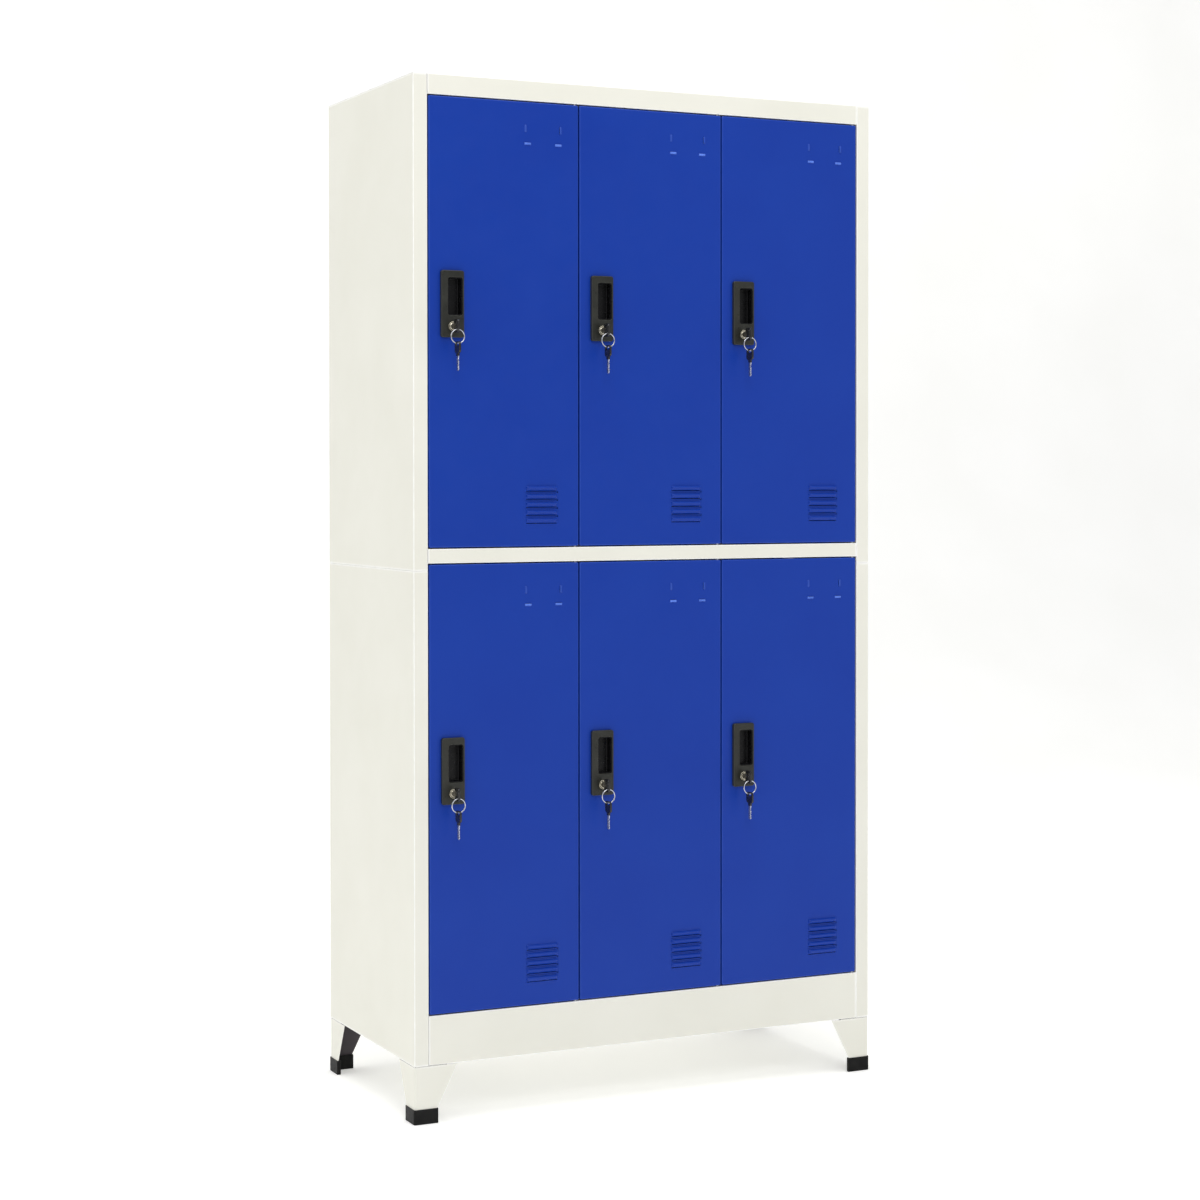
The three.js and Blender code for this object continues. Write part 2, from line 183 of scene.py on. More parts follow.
def soften(
    points: Sequence[Point],
    radii: Sequence[float] | float,
    closed: bool,
    steps: int = 5,
    support: float = 0.0,
) -> Outline:
    """Rounds the corners of a line.

    Args:
        points: The sharp corners in order.
        radii: One radius for all corners, or one for each point.
        closed: Whether the last point joins the first.
        steps: Chords in each rounded corner.
        support: How far from each arc an extra point stands on the flats beside it.

    Returns:
        The line with an arc in place of each corner.
    """
    count = len(points)
    sizes = [radii] * count if isinstance(radii, (int, float)) else list(radii)
    line: Outline = []
    for i, point in enumerate(points):
        if not closed and i in (0, count - 1):
            line.append(point)
            continue
        here = Vector(point)
        back = (Vector(points[i - 1]) - here).normalized()
        on = (Vector(points[(i + 1) % count]) - here).normalized()
        half = back.angle(on) / 2
        reach = sizes[i] / math.tan(half)
        middle = here + (back + on).normalized() * sizes[i] / math.sin(half)
        start = here + back * reach - middle
        turn = start.angle_signed(here + on * reach - middle)
        if support:
            line.append(tuple(here + back * (reach + support)))
        for k in range(steps + 1):
            spoke = start.copy()
            spoke.rotate(Matrix.Rotation(-turn * k / steps, 2))
            line.append(tuple(middle + spoke))
        if support:
            line.append(tuple(here + on * (reach + support)))
    return line


def rounded_box(u0: float, u1: float, v0: float, v1: float, radius: float, steps: int = 5) -> Outline:
    """A rectangle with round corners, counter-clockwise."""
    return soften([(u0, v0), (u1, v0), (u1, v1), (u0, v1)], radius, True, steps)


def inset(outline: Outline, distance: float) -> Outline:
    """Shrinks a counter-clockwise outline by a distance, or grows it by a negative one.

    Args:
        outline: The closed outline.
        distance: How far each side moves inwards.

    Returns:
        The moved outline, with as many points.
    """
    if not distance:
        return list(outline)
    moved: Outline = []
    for i, (u, v) in enumerate(outline):
        before = Vector((u - outline[i - 1][0], v - outline[i - 1][1])).normalized()
        following = outline[(i + 1) % len(outline)]
        after = Vector((following[0] - u, following[1] - v)).normalized()
        normal = Vector((-before.y - after.y, before.x + after.x)).normalized()
        share = max(0.3, normal.dot(Vector((-after.y, after.x))))
        moved.append((u + normal.x * distance / share, v + normal.y * distance / share))
    return moved


def folded(path: Sequence[Point], sheet: float, bend: float, steps: int = 5) -> Outline:
    """The section of a sheet folded along a path, its thickness to the right of the way it goes.

    Args:
        path: The sharp corners of the sheet's show side.
        sheet: The thickness.
        bend: The outer radius of every fold.
        steps: Chords in each fold.

    Returns:
        The closed section, counter-clockwise.
    """
    ways = [(Vector(b) - Vector(a)).normalized() for a, b in zip(path, path[1:])]
    rights = [Vector((way.y, -way.x)) for way in ways]
    show, hidden, inner = [Vector(path[0])], [Vector(path[0]) + rights[0] * sheet], [(bend, bend - sheet)]
    for i, corner in enumerate(path[1:-1]):
        turn = ways[i].x * ways[i + 1].y - ways[i].y * ways[i + 1].x
        show.append(Vector(corner))
        hidden.append(Vector(corner) + (rights[i] + rights[i + 1]) * sheet)
        inner.append((bend, bend - sheet) if turn < 0 else (bend - sheet, bend))
    show.append(Vector(path[-1]))
    hidden.append(Vector(path[-1]) + rights[-1] * sheet)
    inner.append((bend, bend))
    lines = []
    for side, corners in enumerate((show, hidden)):
        first = corners[0] + ways[0] * SUPPORT
        last = corners[-1] - ways[-1] * SUPPORT
        radii = [pair[side] for pair in inner]
        line = soften([tuple(c) for c in corners], radii, False, steps, SUPPORT)
        lines.append([line[0], tuple(first), *line[1:-1], tuple(last), line[-1]])
    section = lines[0] + lines[1][::-1]
    area = sum(a[0] * b[1] - b[0] * a[1] for a, b in zip(section, section[1:] + section[:1]))
    return section if area > 0 else section[::-1]


def rounding(size: float, steps: int = 2) -> list[Point]:
    """How far in and how deep each step of a rounded edge lies, from the end face to the side."""
    turns = [math.pi / 2 * i / steps for i in range(steps + 1)]
    return [(size * (1 - math.sin(a)), size * (1 - math.cos(a))) for a in turns]


# ---------------------------------------------------------------- meshes


class Shell:
    """One mesh in the making, in millimetres, of rings of points that are bridged and capped."""

    def __init__(self) -> None:
        """Starts an empty mesh."""
        self.bm = bmesh.new()

    def ring(self, outline: Outline, axis: Axis, level: float) -> Ring:
        """Adds the points of an outline at a level along an axis."""
        return [self.bm.verts.new(axis.place(u, v, level)) for u, v in outline]

    def bridge(self, first: Ring, second: Ring, closed: bool = True) -> None:
        """Joins two rings of as many points with a band of faces.

        Args:
            first: One ring.
            second: The other, point for point.
            closed: Whether the rings run round.
        """
        count = len(first)
        for i in range(count if closed else count - 1):
            j = (i + 1) % count
            self.bm.faces.new((first[i], first[j], second[j], second[i]))

    def cap(self, *rings: Ring) -> None:
        """Fills the flat region inside the first ring and outside the others.

        Args:
            rings: The outer ring, then those of the holes in it.
        """
        if len(rings) == 1:
            self.bm.faces.new(rings[0])
            return
        edges = []
        for ring in rings:
            for a, b in zip(ring, ring[1:] + ring[:1]):
                edges.append(self.bm.edges.get((a, b)) or self.bm.edges.new((a, b)))
        bmesh.ops.triangle_fill(self.bm, use_beauty=True, use_dissolve=False, edges=edges)

    def stack(self, outlines: Iterable[tuple[Outline, float]], axis: Axis) -> tuple[Ring, Ring]:
        """Adds outlines at their levels and bridges each to the next.

        Args:
            outlines: Each outline with its level.
            axis: The axis that the levels lie along.

        Returns:
            The first ring and the last.
        """
        rings = [self.ring(outline, axis, level) for outline, level in outlines]
        for first, second in zip(rings, rings[1:]):
            self.bridge(first, second)
        return rings[0], rings[-1]

    def slab(
        self,
        outline: Outline,
        axis: Axis,
        span: Point,
        edge: float,
        holes: Sequence[Outline] = (),
        stops: Sequence[float] = (),
        face: float = 0.0,
    ) -> None:
        """Adds a plate of one outline with softened rims.

        Args:
            outline: The plate's outline, counter-clockwise.
            axis: The axis that it is thick along.
            span: Where it starts and stops on that axis.
            edge: The radius of its rims.
            holes: Outlines of holes through it, counter-clockwise.
            stops: More levels in order, beside which something is cut later.
            face: How far in from its rims a ring on each face keeps the worn and highlighted edge colour at
                the edge.
        """
        low, high = span
        steps = rounding(edge)
        levels = [(i, low + d) for i, d in steps]
        if face:
            levels.insert(0, (edge + face, low))
        if high - low > 2 * (edge + SUPPORT):
            levels.append((0.0, low + edge + SUPPORT))
            levels += [(0.0, stop) for stop in stops]
            levels.append((0.0, high - edge - SUPPORT))
        levels += [(i, high - d) for i, d in reversed(steps)]
        if face:
            levels.append((edge + face, high))
        rims = []
        for line, way in [(outline, 1), *((hole, -1) for hole in holes)]:
            rims.append(self.stack([(inset(line, way * i), level) for i, level in levels], axis))
        self.cap(*(rim[0] for rim in rims))
        self.cap(*(rim[1] for rim in rims))

    def lathe(
        self, profile: Sequence[Point], axis: Axis, centre: Point, sides: int = 32
    ) -> tuple[Ring, Ring]:
        """Adds a turned surface, open at both ends.

        Args:
            profile: Radius and level of each step.
            axis: The axis that it turns round.
            centre: Where the axis crosses the other two.
            sides: Chords in a turn.

        Returns:
            The first ring and the last.
        """
        return self.stack([(circle(*centre, radius, sides), level) for radius, level in profile], axis)

    def turned(self, profile: Sequence[Point], axis: Axis, centre: Point, sides: int = 32) -> None:
        """Adds a turned solid, with a flat cap at each end."""
        for ring in self.lathe(profile, axis, centre, sides):
            self.cap(ring)

    def add(self, mesh: bpy.types.Mesh, move: Matrix = Matrix.Identity(4)) -> None:
        """Adds a moved copy of a mesh that is in millimetres.

        Args:
            mesh: The mesh, which stays as it is.
            move: Where its copy goes.
        """
        copy = mesh.copy()
        copy.transform(move)
        self.bm.from_mesh(copy)
        bpy.data.meshes.remove(copy)

    def close(self) -> None:
        """Joins points that meet and turns every face outwards."""
        bmesh.ops.remove_doubles(self.bm, verts=self.bm.verts, dist=WELD)
        bmesh.ops.recalc_face_normals(self.bm, faces=self.bm.faces)

    def cut(self, cutter: "Shell") -> None:
        """Takes another closed shape out of this one.

        Args:
            cutter: The shape to take out.
        """
        self.close()
        cutter.close()
        body = bpy.data.objects.new("cut_body", self.mesh("cut_body"))
        tool = bpy.data.objects.new("cut_tool", cutter.mesh("cut_tool"))
        for made in (body, tool):
            bpy.context.scene.collection.objects.link(made)
        modifier = body.modifiers.new("cut", "BOOLEAN")
        modifier.operation = "DIFFERENCE"
        modifier.solver = "EXACT"
        modifier.object = tool
        result = evaluated_mesh(body)
        self.bm.clear()
        self.bm.from_mesh(result)
        for made in (body, tool):
            bpy.data.meshes.remove(made.data)
        bpy.data.meshes.remove(result)

    def mesh(self, name: str) -> bpy.types.Mesh:
        """The shape so far as a mesh in millimetres.

        Args:
            name: The mesh's name.

        Returns:
            The new mesh.
        """
        made = bpy.data.meshes.new(name)
        self.bm.to_mesh(made)
        return made

    def blank(self, name: str, wear_and_highlight_strength: float = 1.0) -> bpy.types.Mesh:
        """Closes the shape and marks its edges for the paler edge colour, a worn look and a painted
        highlight.

        Args:
            name: The mesh's name.
            wear_and_highlight_strength: How strongly its edges take that paler colour, from 0 to 1.

        Returns:
            A smooth-shaded mesh in millimetres.
        """
        self.close()
        wear_and_highlight = self.bm.verts.layers.float.new("wear_and_highlight")
        for edge in self.bm.edges:
            if len(edge.link_faces) != 2:
                continue
            angle = edge.calc_face_angle_signed(0.0)
            edge.smooth = abs(angle) < SHARP_ANGLE
            if angle > WEAR_AND_HIGHLIGHT_ANGLE:
                for vert in edge.verts:
                    vert[wear_and_highlight] = wear_and_highlight_strength
        for face in self.bm.faces:
            face.smooth = True
        made = self.mesh(name)
        self.bm.free()
        return made


def evaluated_mesh(made: bpy.types.Object) -> bpy.types.Mesh:
    """A plain mesh of an object with its modifiers done.

    Args:
        made: The object, in the scene.

    Returns:
        The new mesh.
    """
    bpy.context.view_layer.update()
    graph = bpy.context.evaluated_depsgraph_get()
    return bpy.data.meshes.new_from_object(made.evaluated_get(graph))


def piece(name: str, blank: bpy.types.Mesh, finish: bpy.types.Material, move: Matrix) -> bpy.types.Object:
    """Makes a finished piece, its place in its mesh and its object at the origin.

    Args:
        name: The piece's name.
        blank: Its shape in millimetres, which stays as it is.
        finish: Its material.
        move: Where it goes, in millimetres.

    Returns:
        The new object.
    """
    mesh = blank.copy()
    mesh.name = name
    mesh.transform(Matrix.Scale(MM, 4) @ move)
    if move.determinant() < 0:
        mesh.flip_normals()
    mesh.materials.append(finish)
    made = bpy.data.objects.new(name, mesh)
    bpy.context.scene.collection.objects.link(made)
    weighted = made.modifiers.new("even_faces", "WEIGHTED_NORMAL")
    weighted.weight = FLAT_FIRST
    weighted.keep_sharp = True
    return made


def settle(made: bpy.types.Object, body: str, slot: Slot, *nodes: str) -> bpy.types.Object:
    """Hangs a piece on its body and hides the frame nodes that it replaces.

    Args:
        made: The piece.
        body: The body that it moves with.
        slot: The record's slot of its finish; not used.
        nodes: The frame nodes that it replaces.

    Returns:
        The piece.
    """
    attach(made, body)
    if nodes:
        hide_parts(*nodes)
    LOG.info("%s: %d faces on %s", made.name, len(made.data.polygons), body)
    return made


MIRROR_X = Matrix.Scale(-1, 4, (1, 0, 0))
MIRROR_Y = Matrix.Scale(-1, 4, (0, 1, 0))


# ---------------------------------------------------------------- node trees


def add_node(
    tree: bpy.types.NodeTree, kind: str, inputs: dict[Any, Any] | None = None, **settings: Any
) -> Any:
    """Adds a node with its settings, values and links.

    Args:
        tree: The tree that it goes in.
        kind: The node's type.
        inputs: A value, or a socket to link from, for each input by its name or its number.
        settings: The node's own settings.

    Returns:
        The node.
    """
    node = tree.nodes.new(kind)
    for key, value in settings.items():
        setattr(node, key, value)
    for key, value in (inputs or {}).items():
        socket = next(s for i, s in enumerate(node.inputs) if key in (i, s.name) and s.enabled)
        if isinstance(value, bpy.types.NodeSocket):
            tree.links.new(value, socket)
        else:
            socket.default_value = value
    return node


def result(node: bpy.types.Node, name: str | None = None) -> bpy.types.NodeSocket:
    """A node's named output, or its first one."""
    return next(s for s in node.outputs if s.enabled and name in (None, s.name))


class ShapeTree:
    """A Geometry Nodes tree with named inputs."""

    def __init__(self, name: str, sockets: dict[str, str]) -> None:
        """Makes the tree's inputs and output.

        Args:
            name: The tree's name.
            sockets: The kind of each named input.
        """
        self.tree = bpy.data.node_groups.new(name, "GeometryNodeTree")
        face = self.tree.interface
        kinds = {**sockets, "Finish": "NodeSocketMaterial"}
        self.keys = {
            key: face.new_socket(key, in_out="INPUT", socket_type=kind).identifier
            for key, kind in kinds.items()
        }
        face.new_socket("Shape", in_out="OUTPUT", socket_type="NodeSocketGeometry")
        self.entry = self.tree.nodes.new("NodeGroupInput")

    def finish(self, shape: bpy.types.NodeSocket) -> None:
        """Ends the tree: real geometry with its material.

        Args:
            shape: The geometry that the tree gives.
        """
        real = add_node(self.tree, "GeometryNodeRealizeInstances", {"Geometry": shape})
        dressed = add_node(
            self.tree,
            "GeometryNodeSetMaterial",
            {"Geometry": result(real), "Material": self.entry.outputs["Finish"]},
        )
        end = self.tree.nodes.new("NodeGroupOutput")
        self.tree.links.new(result(dressed), end.inputs["Shape"])

    def run(self, **values: Any) -> bpy.types.Mesh:
        """Runs the tree with these inputs and gives its result as a plain mesh.

        Args:
            values: A value for each named input.

        Returns:
            The mesh, in millimetres.
        """
        holder = bpy.data.objects.new("tree_holder", bpy.data.meshes.new("tree_holder"))
        modifier = holder.modifiers.new("shape", "NODES")
        modifier.node_group = self.tree
        for key, value in values.items():
            modifier[self.keys[key]] = value
        bpy.context.scene.collection.objects.link(holder)
        made = evaluated_mesh(holder)
        bpy.data.meshes.remove(holder.data)
        return made


def row_tree() -> ShapeTree:
    """A tree that sets copies of one shape at equal steps along a line.

    Returns:
        The tree.
    """
    kinds = {
        "Shape": "NodeSocketObject",
        "Count": "NodeSocketInt",
        "First": "NodeSocketVector",
        "Step": "NodeSocketVector",
    }
    made = ShapeTree("row_of_copies", kinds)
    entry = made.entry
    line = add_node(
        made.tree,
        "GeometryNodeMeshLine",
        {
            "Count": entry.outputs["Count"],
            "Start Location": entry.outputs["First"],
            "Offset": entry.outputs["Step"],
        },
        mode="OFFSET",
    )
    shape = add_node(made.tree, "GeometryNodeObjectInfo", {"Object": entry.outputs["Shape"]})
    copies = add_node(
        made.tree,
        "GeometryNodeInstanceOnPoints",
        {"Points": result(line), "Instance": result(shape, "Geometry")},
    )
    made.finish(result(copies))
    return made


def copies_in_row(
    tree: ShapeTree, blank: bpy.types.Mesh, count: int, first: Vector, step: Vector
) -> bpy.types.Mesh:
    """Copies of a mesh along a line, joined in one mesh.

    Args:
        tree: The tree that sets them out.
        blank: The mesh to copy.
        count: How many there are.
        first: Where the first one goes.
        step: From each to the next.

    Returns:
        The joined mesh.
    """
    source = bpy.data.objects.new("row_source", blank)
    bpy.context.scene.collection.objects.link(source)
    made = tree.run(Shape=source, Count=count, First=first, Step=step)
    bpy.data.objects.remove(source)
    return made


def coil_tree() -> ShapeTree:
    """A tree that winds a flat wire into a coil about Z.

    Returns:
        The tree.
    """
    kinds = {
        "Turns": "NodeSocketFloat",
        "Radius": "NodeSocketFloat",
        "Rise": "NodeSocketFloat",
        "Wire": "NodeSocketFloat",
        "Flatness": "NodeSocketFloat",
    }
    made = ShapeTree("split_ring", kinds)
    entry = made.entry
    line = add_node(
        made.tree,
        "GeometryNodeCurveSpiral",
        {
            "Resolution": 72,
            "Rotations": entry.outputs["Turns"],
            "Start Radius": entry.outputs["Radius"],
            "End Radius": entry.outputs["Radius"],
            "Height": entry.outputs["Rise"],
        },
    )
    round_wire = add_node(
        made.tree,
        "GeometryNodeCurvePrimitiveCircle",
        {"Resolution": 12, "Radius": entry.outputs["Wire"]},
    )
    squash = add_node(made.tree, "ShaderNodeCombineXYZ", {"X": 1.0, "Y": entry.outputs["Flatness"], "Z": 1.0})
    wire = add_node(
        made.tree, "GeometryNodeTransform", {"Geometry": result(round_wire), "Scale": result(squash)}
    )
    tube = add_node(
        made.tree,
        "GeometryNodeCurveToMesh",
        {"Curve": result(line), "Profile Curve": result(wire), "Fill Caps": True},
    )
    smooth = add_node(made.tree, "GeometryNodeSetShadeSmooth", {"Geometry": result(tube)})
    made.finish(result(smooth))
    return made


# ---------------------------------------------------------------- finishes


def linear(hex_colour: str) -> tuple[float, float, float, float]:
    """An sRGB hex colour as the linear values that a shader takes.

    Args:
        hex_colour: The colour, from #000000 to #FFFFFF.

    Returns:
        Red, green, blue and an alpha of 1.
    """
    parts = [int(hex_colour[i : i + 2], 16) / 255 for i in (1, 3, 5)]
    flat = [part / 12.92 if part <= 0.04045 else ((part + 0.055) / 1.055) ** 2.4 for part in parts]
    return (*flat, 1.0)


class Surface:
    """A material in the making: its coordinates, its shader and the bumps that lie on each other."""

    def __init__(self, name: str, sockets: dict[str, Any]) -> None:
        """Starts a material.

        Args:
            name: The material's name.
            sockets: Values that are the same all over, set on the shader itself.
        """
        self.material = bpy.data.materials.new(name)
        self.material.use_nodes = True
        self.tree = self.material.node_tree
        self.tree.nodes.clear()
        self.place = result(add_node(self.tree, "ShaderNodeTexCoord"), "Object")
        self.shader = add_node(self.tree, "ShaderNodeBsdfPrincipled", sockets)
        add_node(self.tree, "ShaderNodeOutputMaterial", {"Surface": result(self.shader)})

    def noise(self, size: float, detail: float = 2.0, stretch: Vector | None = None) -> bpy.types.NodeSocket:
        """Noise whose waves are about a size across, in millimetres, drawn out by a stretch on each axis.

        Args:
            size: Across one wave.
            detail: How many finer octaves lie on it.
            stretch: How much finer it is on each axis.

        Returns:
            The noise.
        """
        place = self.place
        if stretch is not None:
            place = result(add_node(self.tree, "ShaderNodeMapping", {"Vector": place, "Scale": stretch}))
        inputs = {"Vector": place, "Scale": 1.0 / (size * MM), "Detail": detail}
        return result(add_node(self.tree, "ShaderNodeTexNoise", inputs))

    def span(self, value: bpy.types.NodeSocket, low: float, high: float) -> bpy.types.NodeSocket:
        """Noise brought from its usual range to another one.

        Args:
            value: The noise.
            low: What its low end becomes.
            high: What its high end becomes.

        Returns:
            The noise in its new range.
        """
        inputs = {
            "Value": value,
            "From Min": NOISE_LOW,
            "From Max": NOISE_HIGH,
            "To Min": low,
            "To Max": high,
        }
        return result(add_node(self.tree, "ShaderNodeMapRange", inputs))

    def mix(self, share: bpy.types.NodeSocket, first: Any, second: Any) -> bpy.types.NodeSocket:
        """A colour between two, by a share."""
        inputs = {"Factor": share, "A": first, "B": second}
        return result(add_node(self.tree, "ShaderNodeMix", inputs, data_type="RGBA"))

    def wear_and_highlight_share(self, strength: float) -> bpy.types.NodeSocket:
        """How much of the paler edge colour each point takes: its marked edges, broken up by noise; a worn
        look and a painted highlight.

        Args:
            strength: How strongly its edges take that colour, from 0 to 1.

        Returns:
            A share from 0 to 1.
        """
        edges = result(add_node(self.tree, "ShaderNodeAttribute", attribute_name="wear_and_highlight"), "Fac")
        broken = self.span(self.noise(WEAR_AND_HIGHLIGHT_PATCH, 4.0), 0.6 * strength, strength)
        return result(add_node(self.tree, "ShaderNodeMath", {0: edges, 1: broken}, operation="MULTIPLY"))

    def link(self, **sources: bpy.types.NodeSocket) -> None:
        """Links sockets to the shader's inputs, with an underscore for each space."""
        for key, source in sources.items():
            self.tree.links.new(source, self.shader.inputs[key.replace("_", " ")])

    def bump(self, heights: Sequence[tuple[bpy.types.NodeSocket, float]]) -> None:
        """Lays bumps on each other, each with its height in millimetres.

        Args:
            heights: Each bump's pattern with its height.
        """
        normal = None
        for height, depth in heights:
            inputs = {"Height": height, "Strength": 1.0, "Distance": depth * MM}
            if normal is not None:
                inputs["Normal"] = normal
            normal = result(add_node(self.tree, "ShaderNodeBump", inputs))
        self.tree.links.new(normal, self.shader.inputs["Normal"])


@dataclass(frozen=True)
class PowderCoat:
    """Polyester powder baked on folded steel: an even satin coat with a faint orange peel.

    The coat runs thin over the folds, where it is a little lighter and glossier; that lighter colour is also
    a painted highlight along each fold. The flat sheet behind it is never quite flat, so reflections bend
    slowly across it.
    """

    name: str
    colour: str
    thick: str  # where the powder lies thicker
    thin: str  # paler over folds and cut edges: partly thin powder, partly a painted highlight along each fold; on the doors also the painted highlight on the card tabs
    roughness: float = 0.36
    gloss: float = 0.25
    peel: float = 5.0  # drawn coarser than the real 2 mm, so that it shows
    grain: float = 1.3
    sheet_wave: float = 260.0
    cloud: float = 180.0  # across one patch of thicker powder
    dull_patch: float = 35.0  # across one patch that baked a little duller
    wave_depth: float = 0.35
    peel_depth: float = 0.05
    grain_depth: float = 0.008

    def build(self) -> bpy.types.Material:
        """Makes the material.

        Returns:
            The material.
        """
        made = Surface(self.name, {"IOR": 1.5, "Specular IOR Level": self.gloss})
        cloud = made.span(made.noise(self.cloud, 3.0), 0.0, 1.0)
        coat = made.mix(cloud, linear(self.colour), linear(self.thick))
        # paler over folds: partly thin powder, partly a painted highlight along each fold
        made.link(Base_Color=made.mix(made.wear_and_highlight_share(1.0), coat, linear(self.thin)))
        dull = made.noise(self.dull_patch, 4.0)
        made.link(Roughness=made.span(dull, self.roughness - 0.04, self.roughness + 0.05))
        made.bump(
            [
                (made.noise(self.sheet_wave, 1.0), self.wave_depth),
                (made.noise(self.peel, 2.0), self.peel_depth),
                (made.noise(self.grain, 1.0), self.grain_depth),
            ]
        )
        return made.material


@dataclass(frozen=True)
class MouldedPlastic:
    """Injection-moulded plastic: dark pellets with a spark-eroded grain, worn a little shiny at its edges."""

    name: str
    colour: str
    worn: str
    roughness: float
    gloss: float = 0.3
    grain: float = 1.1  # drawn coarser than the real 0.3 mm, so that it shows
    depth: float = 0.05
    flow: float = 22.0  # across one cloud in the moulded colour
    handled: float = 6.0  # across one patch that hands have polished

    def build(self) -> bpy.types.Material:
        """Makes the material.

        Returns:
            The material.
        """
        made = Surface(self.name, {"IOR": 1.53, "Specular IOR Level": self.gloss})
        cloud = made.span(made.noise(self.flow, 3.0), 0.0, 0.35)
        base = made.mix(cloud, linear(self.colour), linear(self.worn))
        made.link(Base_Color=made.mix(made.wear_and_highlight_share(0.6), base, linear(self.worn)))
        handled = made.noise(self.handled, 4.0)
        made.link(Roughness=made.span(handled, self.roughness - 0.07, self.roughness + 0.08))
        made.bump([(made.noise(self.grain, 3.0), self.depth)])
        return made.material


@dataclass(frozen=True)
class PlatedMetal:
    """Plated or bare metal: bright, with fine lines from polishing and slightly dull patches of handling."""

    name: str
    colour: str
    dull: str
    roughness: float
    line: float = 0.5  # between polishing lines
    along: tuple[float, float, float] = (1.0, 1.0, 0.08)  # how the lines are drawn out
    line_depth: float = 0.006
    patch: float = 5.0  # across one dull patch

    def build(self) -> bpy.types.Material:
        """Makes the material.

        Returns:
            The material.
        """
        made = Surface(self.name, {"Metallic": 1.0})
        patches = made.span(made.noise(self.patch, 4.0), 0.0, 0.8)
        made.link(Base_Color=made.mix(patches, linear(self.colour), linear(self.dull)))
        lines = made.noise(self.line, 2.0, Vector(self.along))
        made.link(Roughness=made.span(lines, self.roughness - 0.05, self.roughness + 0.08))
        made.bump([(lines, self.line_depth)])
        return made.material


@dataclass(frozen=True)
class StudioPaper:
    """Seamless matt paper, lit from behind: a pale even ground with the faintest fibre."""

    name: str
    colour: str
    shade: str = "#F4F4F2"
    glow: float = 0.34
    cloud: float = 400.0
    fibre: float = 1.5
    fibre_depth: float = 0.01

    def build(self) -> bpy.types.Material:
        """Makes the material.

        Returns:
            The material.
        """
        glow = {"Emission Color": linear(self.colour), "Emission Strength": self.glow}
        made = Surface(self.name, {"Roughness": 0.85, "Specular IOR Level": 0.2, **glow})
        cloud = made.span(made.noise(self.cloud, 2.0), 0.0, 1.0)
        made.link(Base_Color=made.mix(cloud, linear(self.colour), linear(self.shade)))
        made.bump([(made.noise(self.fibre, 2.0), self.fibre_depth)])
        return made.material


@dataclass(frozen=True)
class Finishes:
    """Every finish of the locker, made once."""

    cream: bpy.types.Material
    blue: bpy.types.Material
    lock_plastic: bpy.types.Material
    grip_plastic: bpy.types.Material
    primer: bpy.types.Material
    foot_plastic: bpy.types.Material
    bow_plastic: bpy.types.Material
    nickel: bpy.types.Material
    blade_steel: bpy.types.Material
    spring_steel: bpy.types.Material
    zinc: bpy.types.Material

    @classmethod
    def make(cls) -> "Finishes":
        """Builds all the materials.

        Returns:
            The whole set.
        """
        return cls(
            # warm white carcass: satin, lighter over its folds, partly thin powder and partly a painted
            # highlight
            cream=PowderCoat("cream_powder_coat_satin", "#EBEAE0", "#E7E6DB", "#FEFEFC").build(),
            # royal blue doors: deep and even, with pale fold lines and pale card tabs that are painted
            # highlights
            blue=PowderCoat(
                "royal_blue_powder_coat_satin", "#113A9F", "#0F379C", "#6288EC", 0.34, 0.2
            ).build(),
            # lock plate: warm black ABS with a moulded grain
            lock_plastic=MouldedPlastic(
                "black_abs_moulded_satin", "#1E1F1B", "#3B3C36", 0.34, 0.35
            ).build(),
            # grip lining the lock plate's recess: blacker and smoother than the plate, its black a painted
            # shade in the recess
            grip_plastic=MouldedPlastic(
                "black_abs_polished_painted_shade", "#0B0B0D", "#1C1C1F", 0.3, 0.2, depth=0.01
            ).build(),
            # inside of the legs: dark grey, a painted shade where the inside of each leg lies in shadow
            primer=PowderCoat("dark_grey_primer_matt", "#575256", "#4F4A4E", "#656063", 0.6, 0.15).build(),
            # feet: tougher, duller black that scuffs grey at its rims
            foot_plastic=MouldedPlastic(
                "black_polypropylene_moulded", "#0B0B0B", "#242423", 0.5, 0.14
            ).build(),
            # key heads: smooth and glossy
            bow_plastic=MouldedPlastic(
                "black_key_plastic_gloss", "#101012", "#2A2A2C", 0.2, 0.45, depth=0.012
            ).build(),
            # lock front: warm bright nickel
            nickel=PlatedMetal("nickel_plate_on_zinc", "#D2CCBC", "#B0A890", 0.22).build(),
            # key blades: cooler, milled lengthways
            blade_steel=PlatedMetal("nickel_silver_key_blade", "#C9CCD6", "#A4A8B4", 0.25).build(),
            # split ring: bright sprung wire
            spring_steel=PlatedMetal("sprung_steel_wire", "#DCDDE2", "#B8BAC2", 0.16).build(),
            # hinge pins: dull bluish zinc
            zinc=PlatedMetal("zinc_plated_steel_pin", "#B9BBBE", "#8E9094", 0.38).build(),
        )


# ---------------------------------------------------------------- carcass


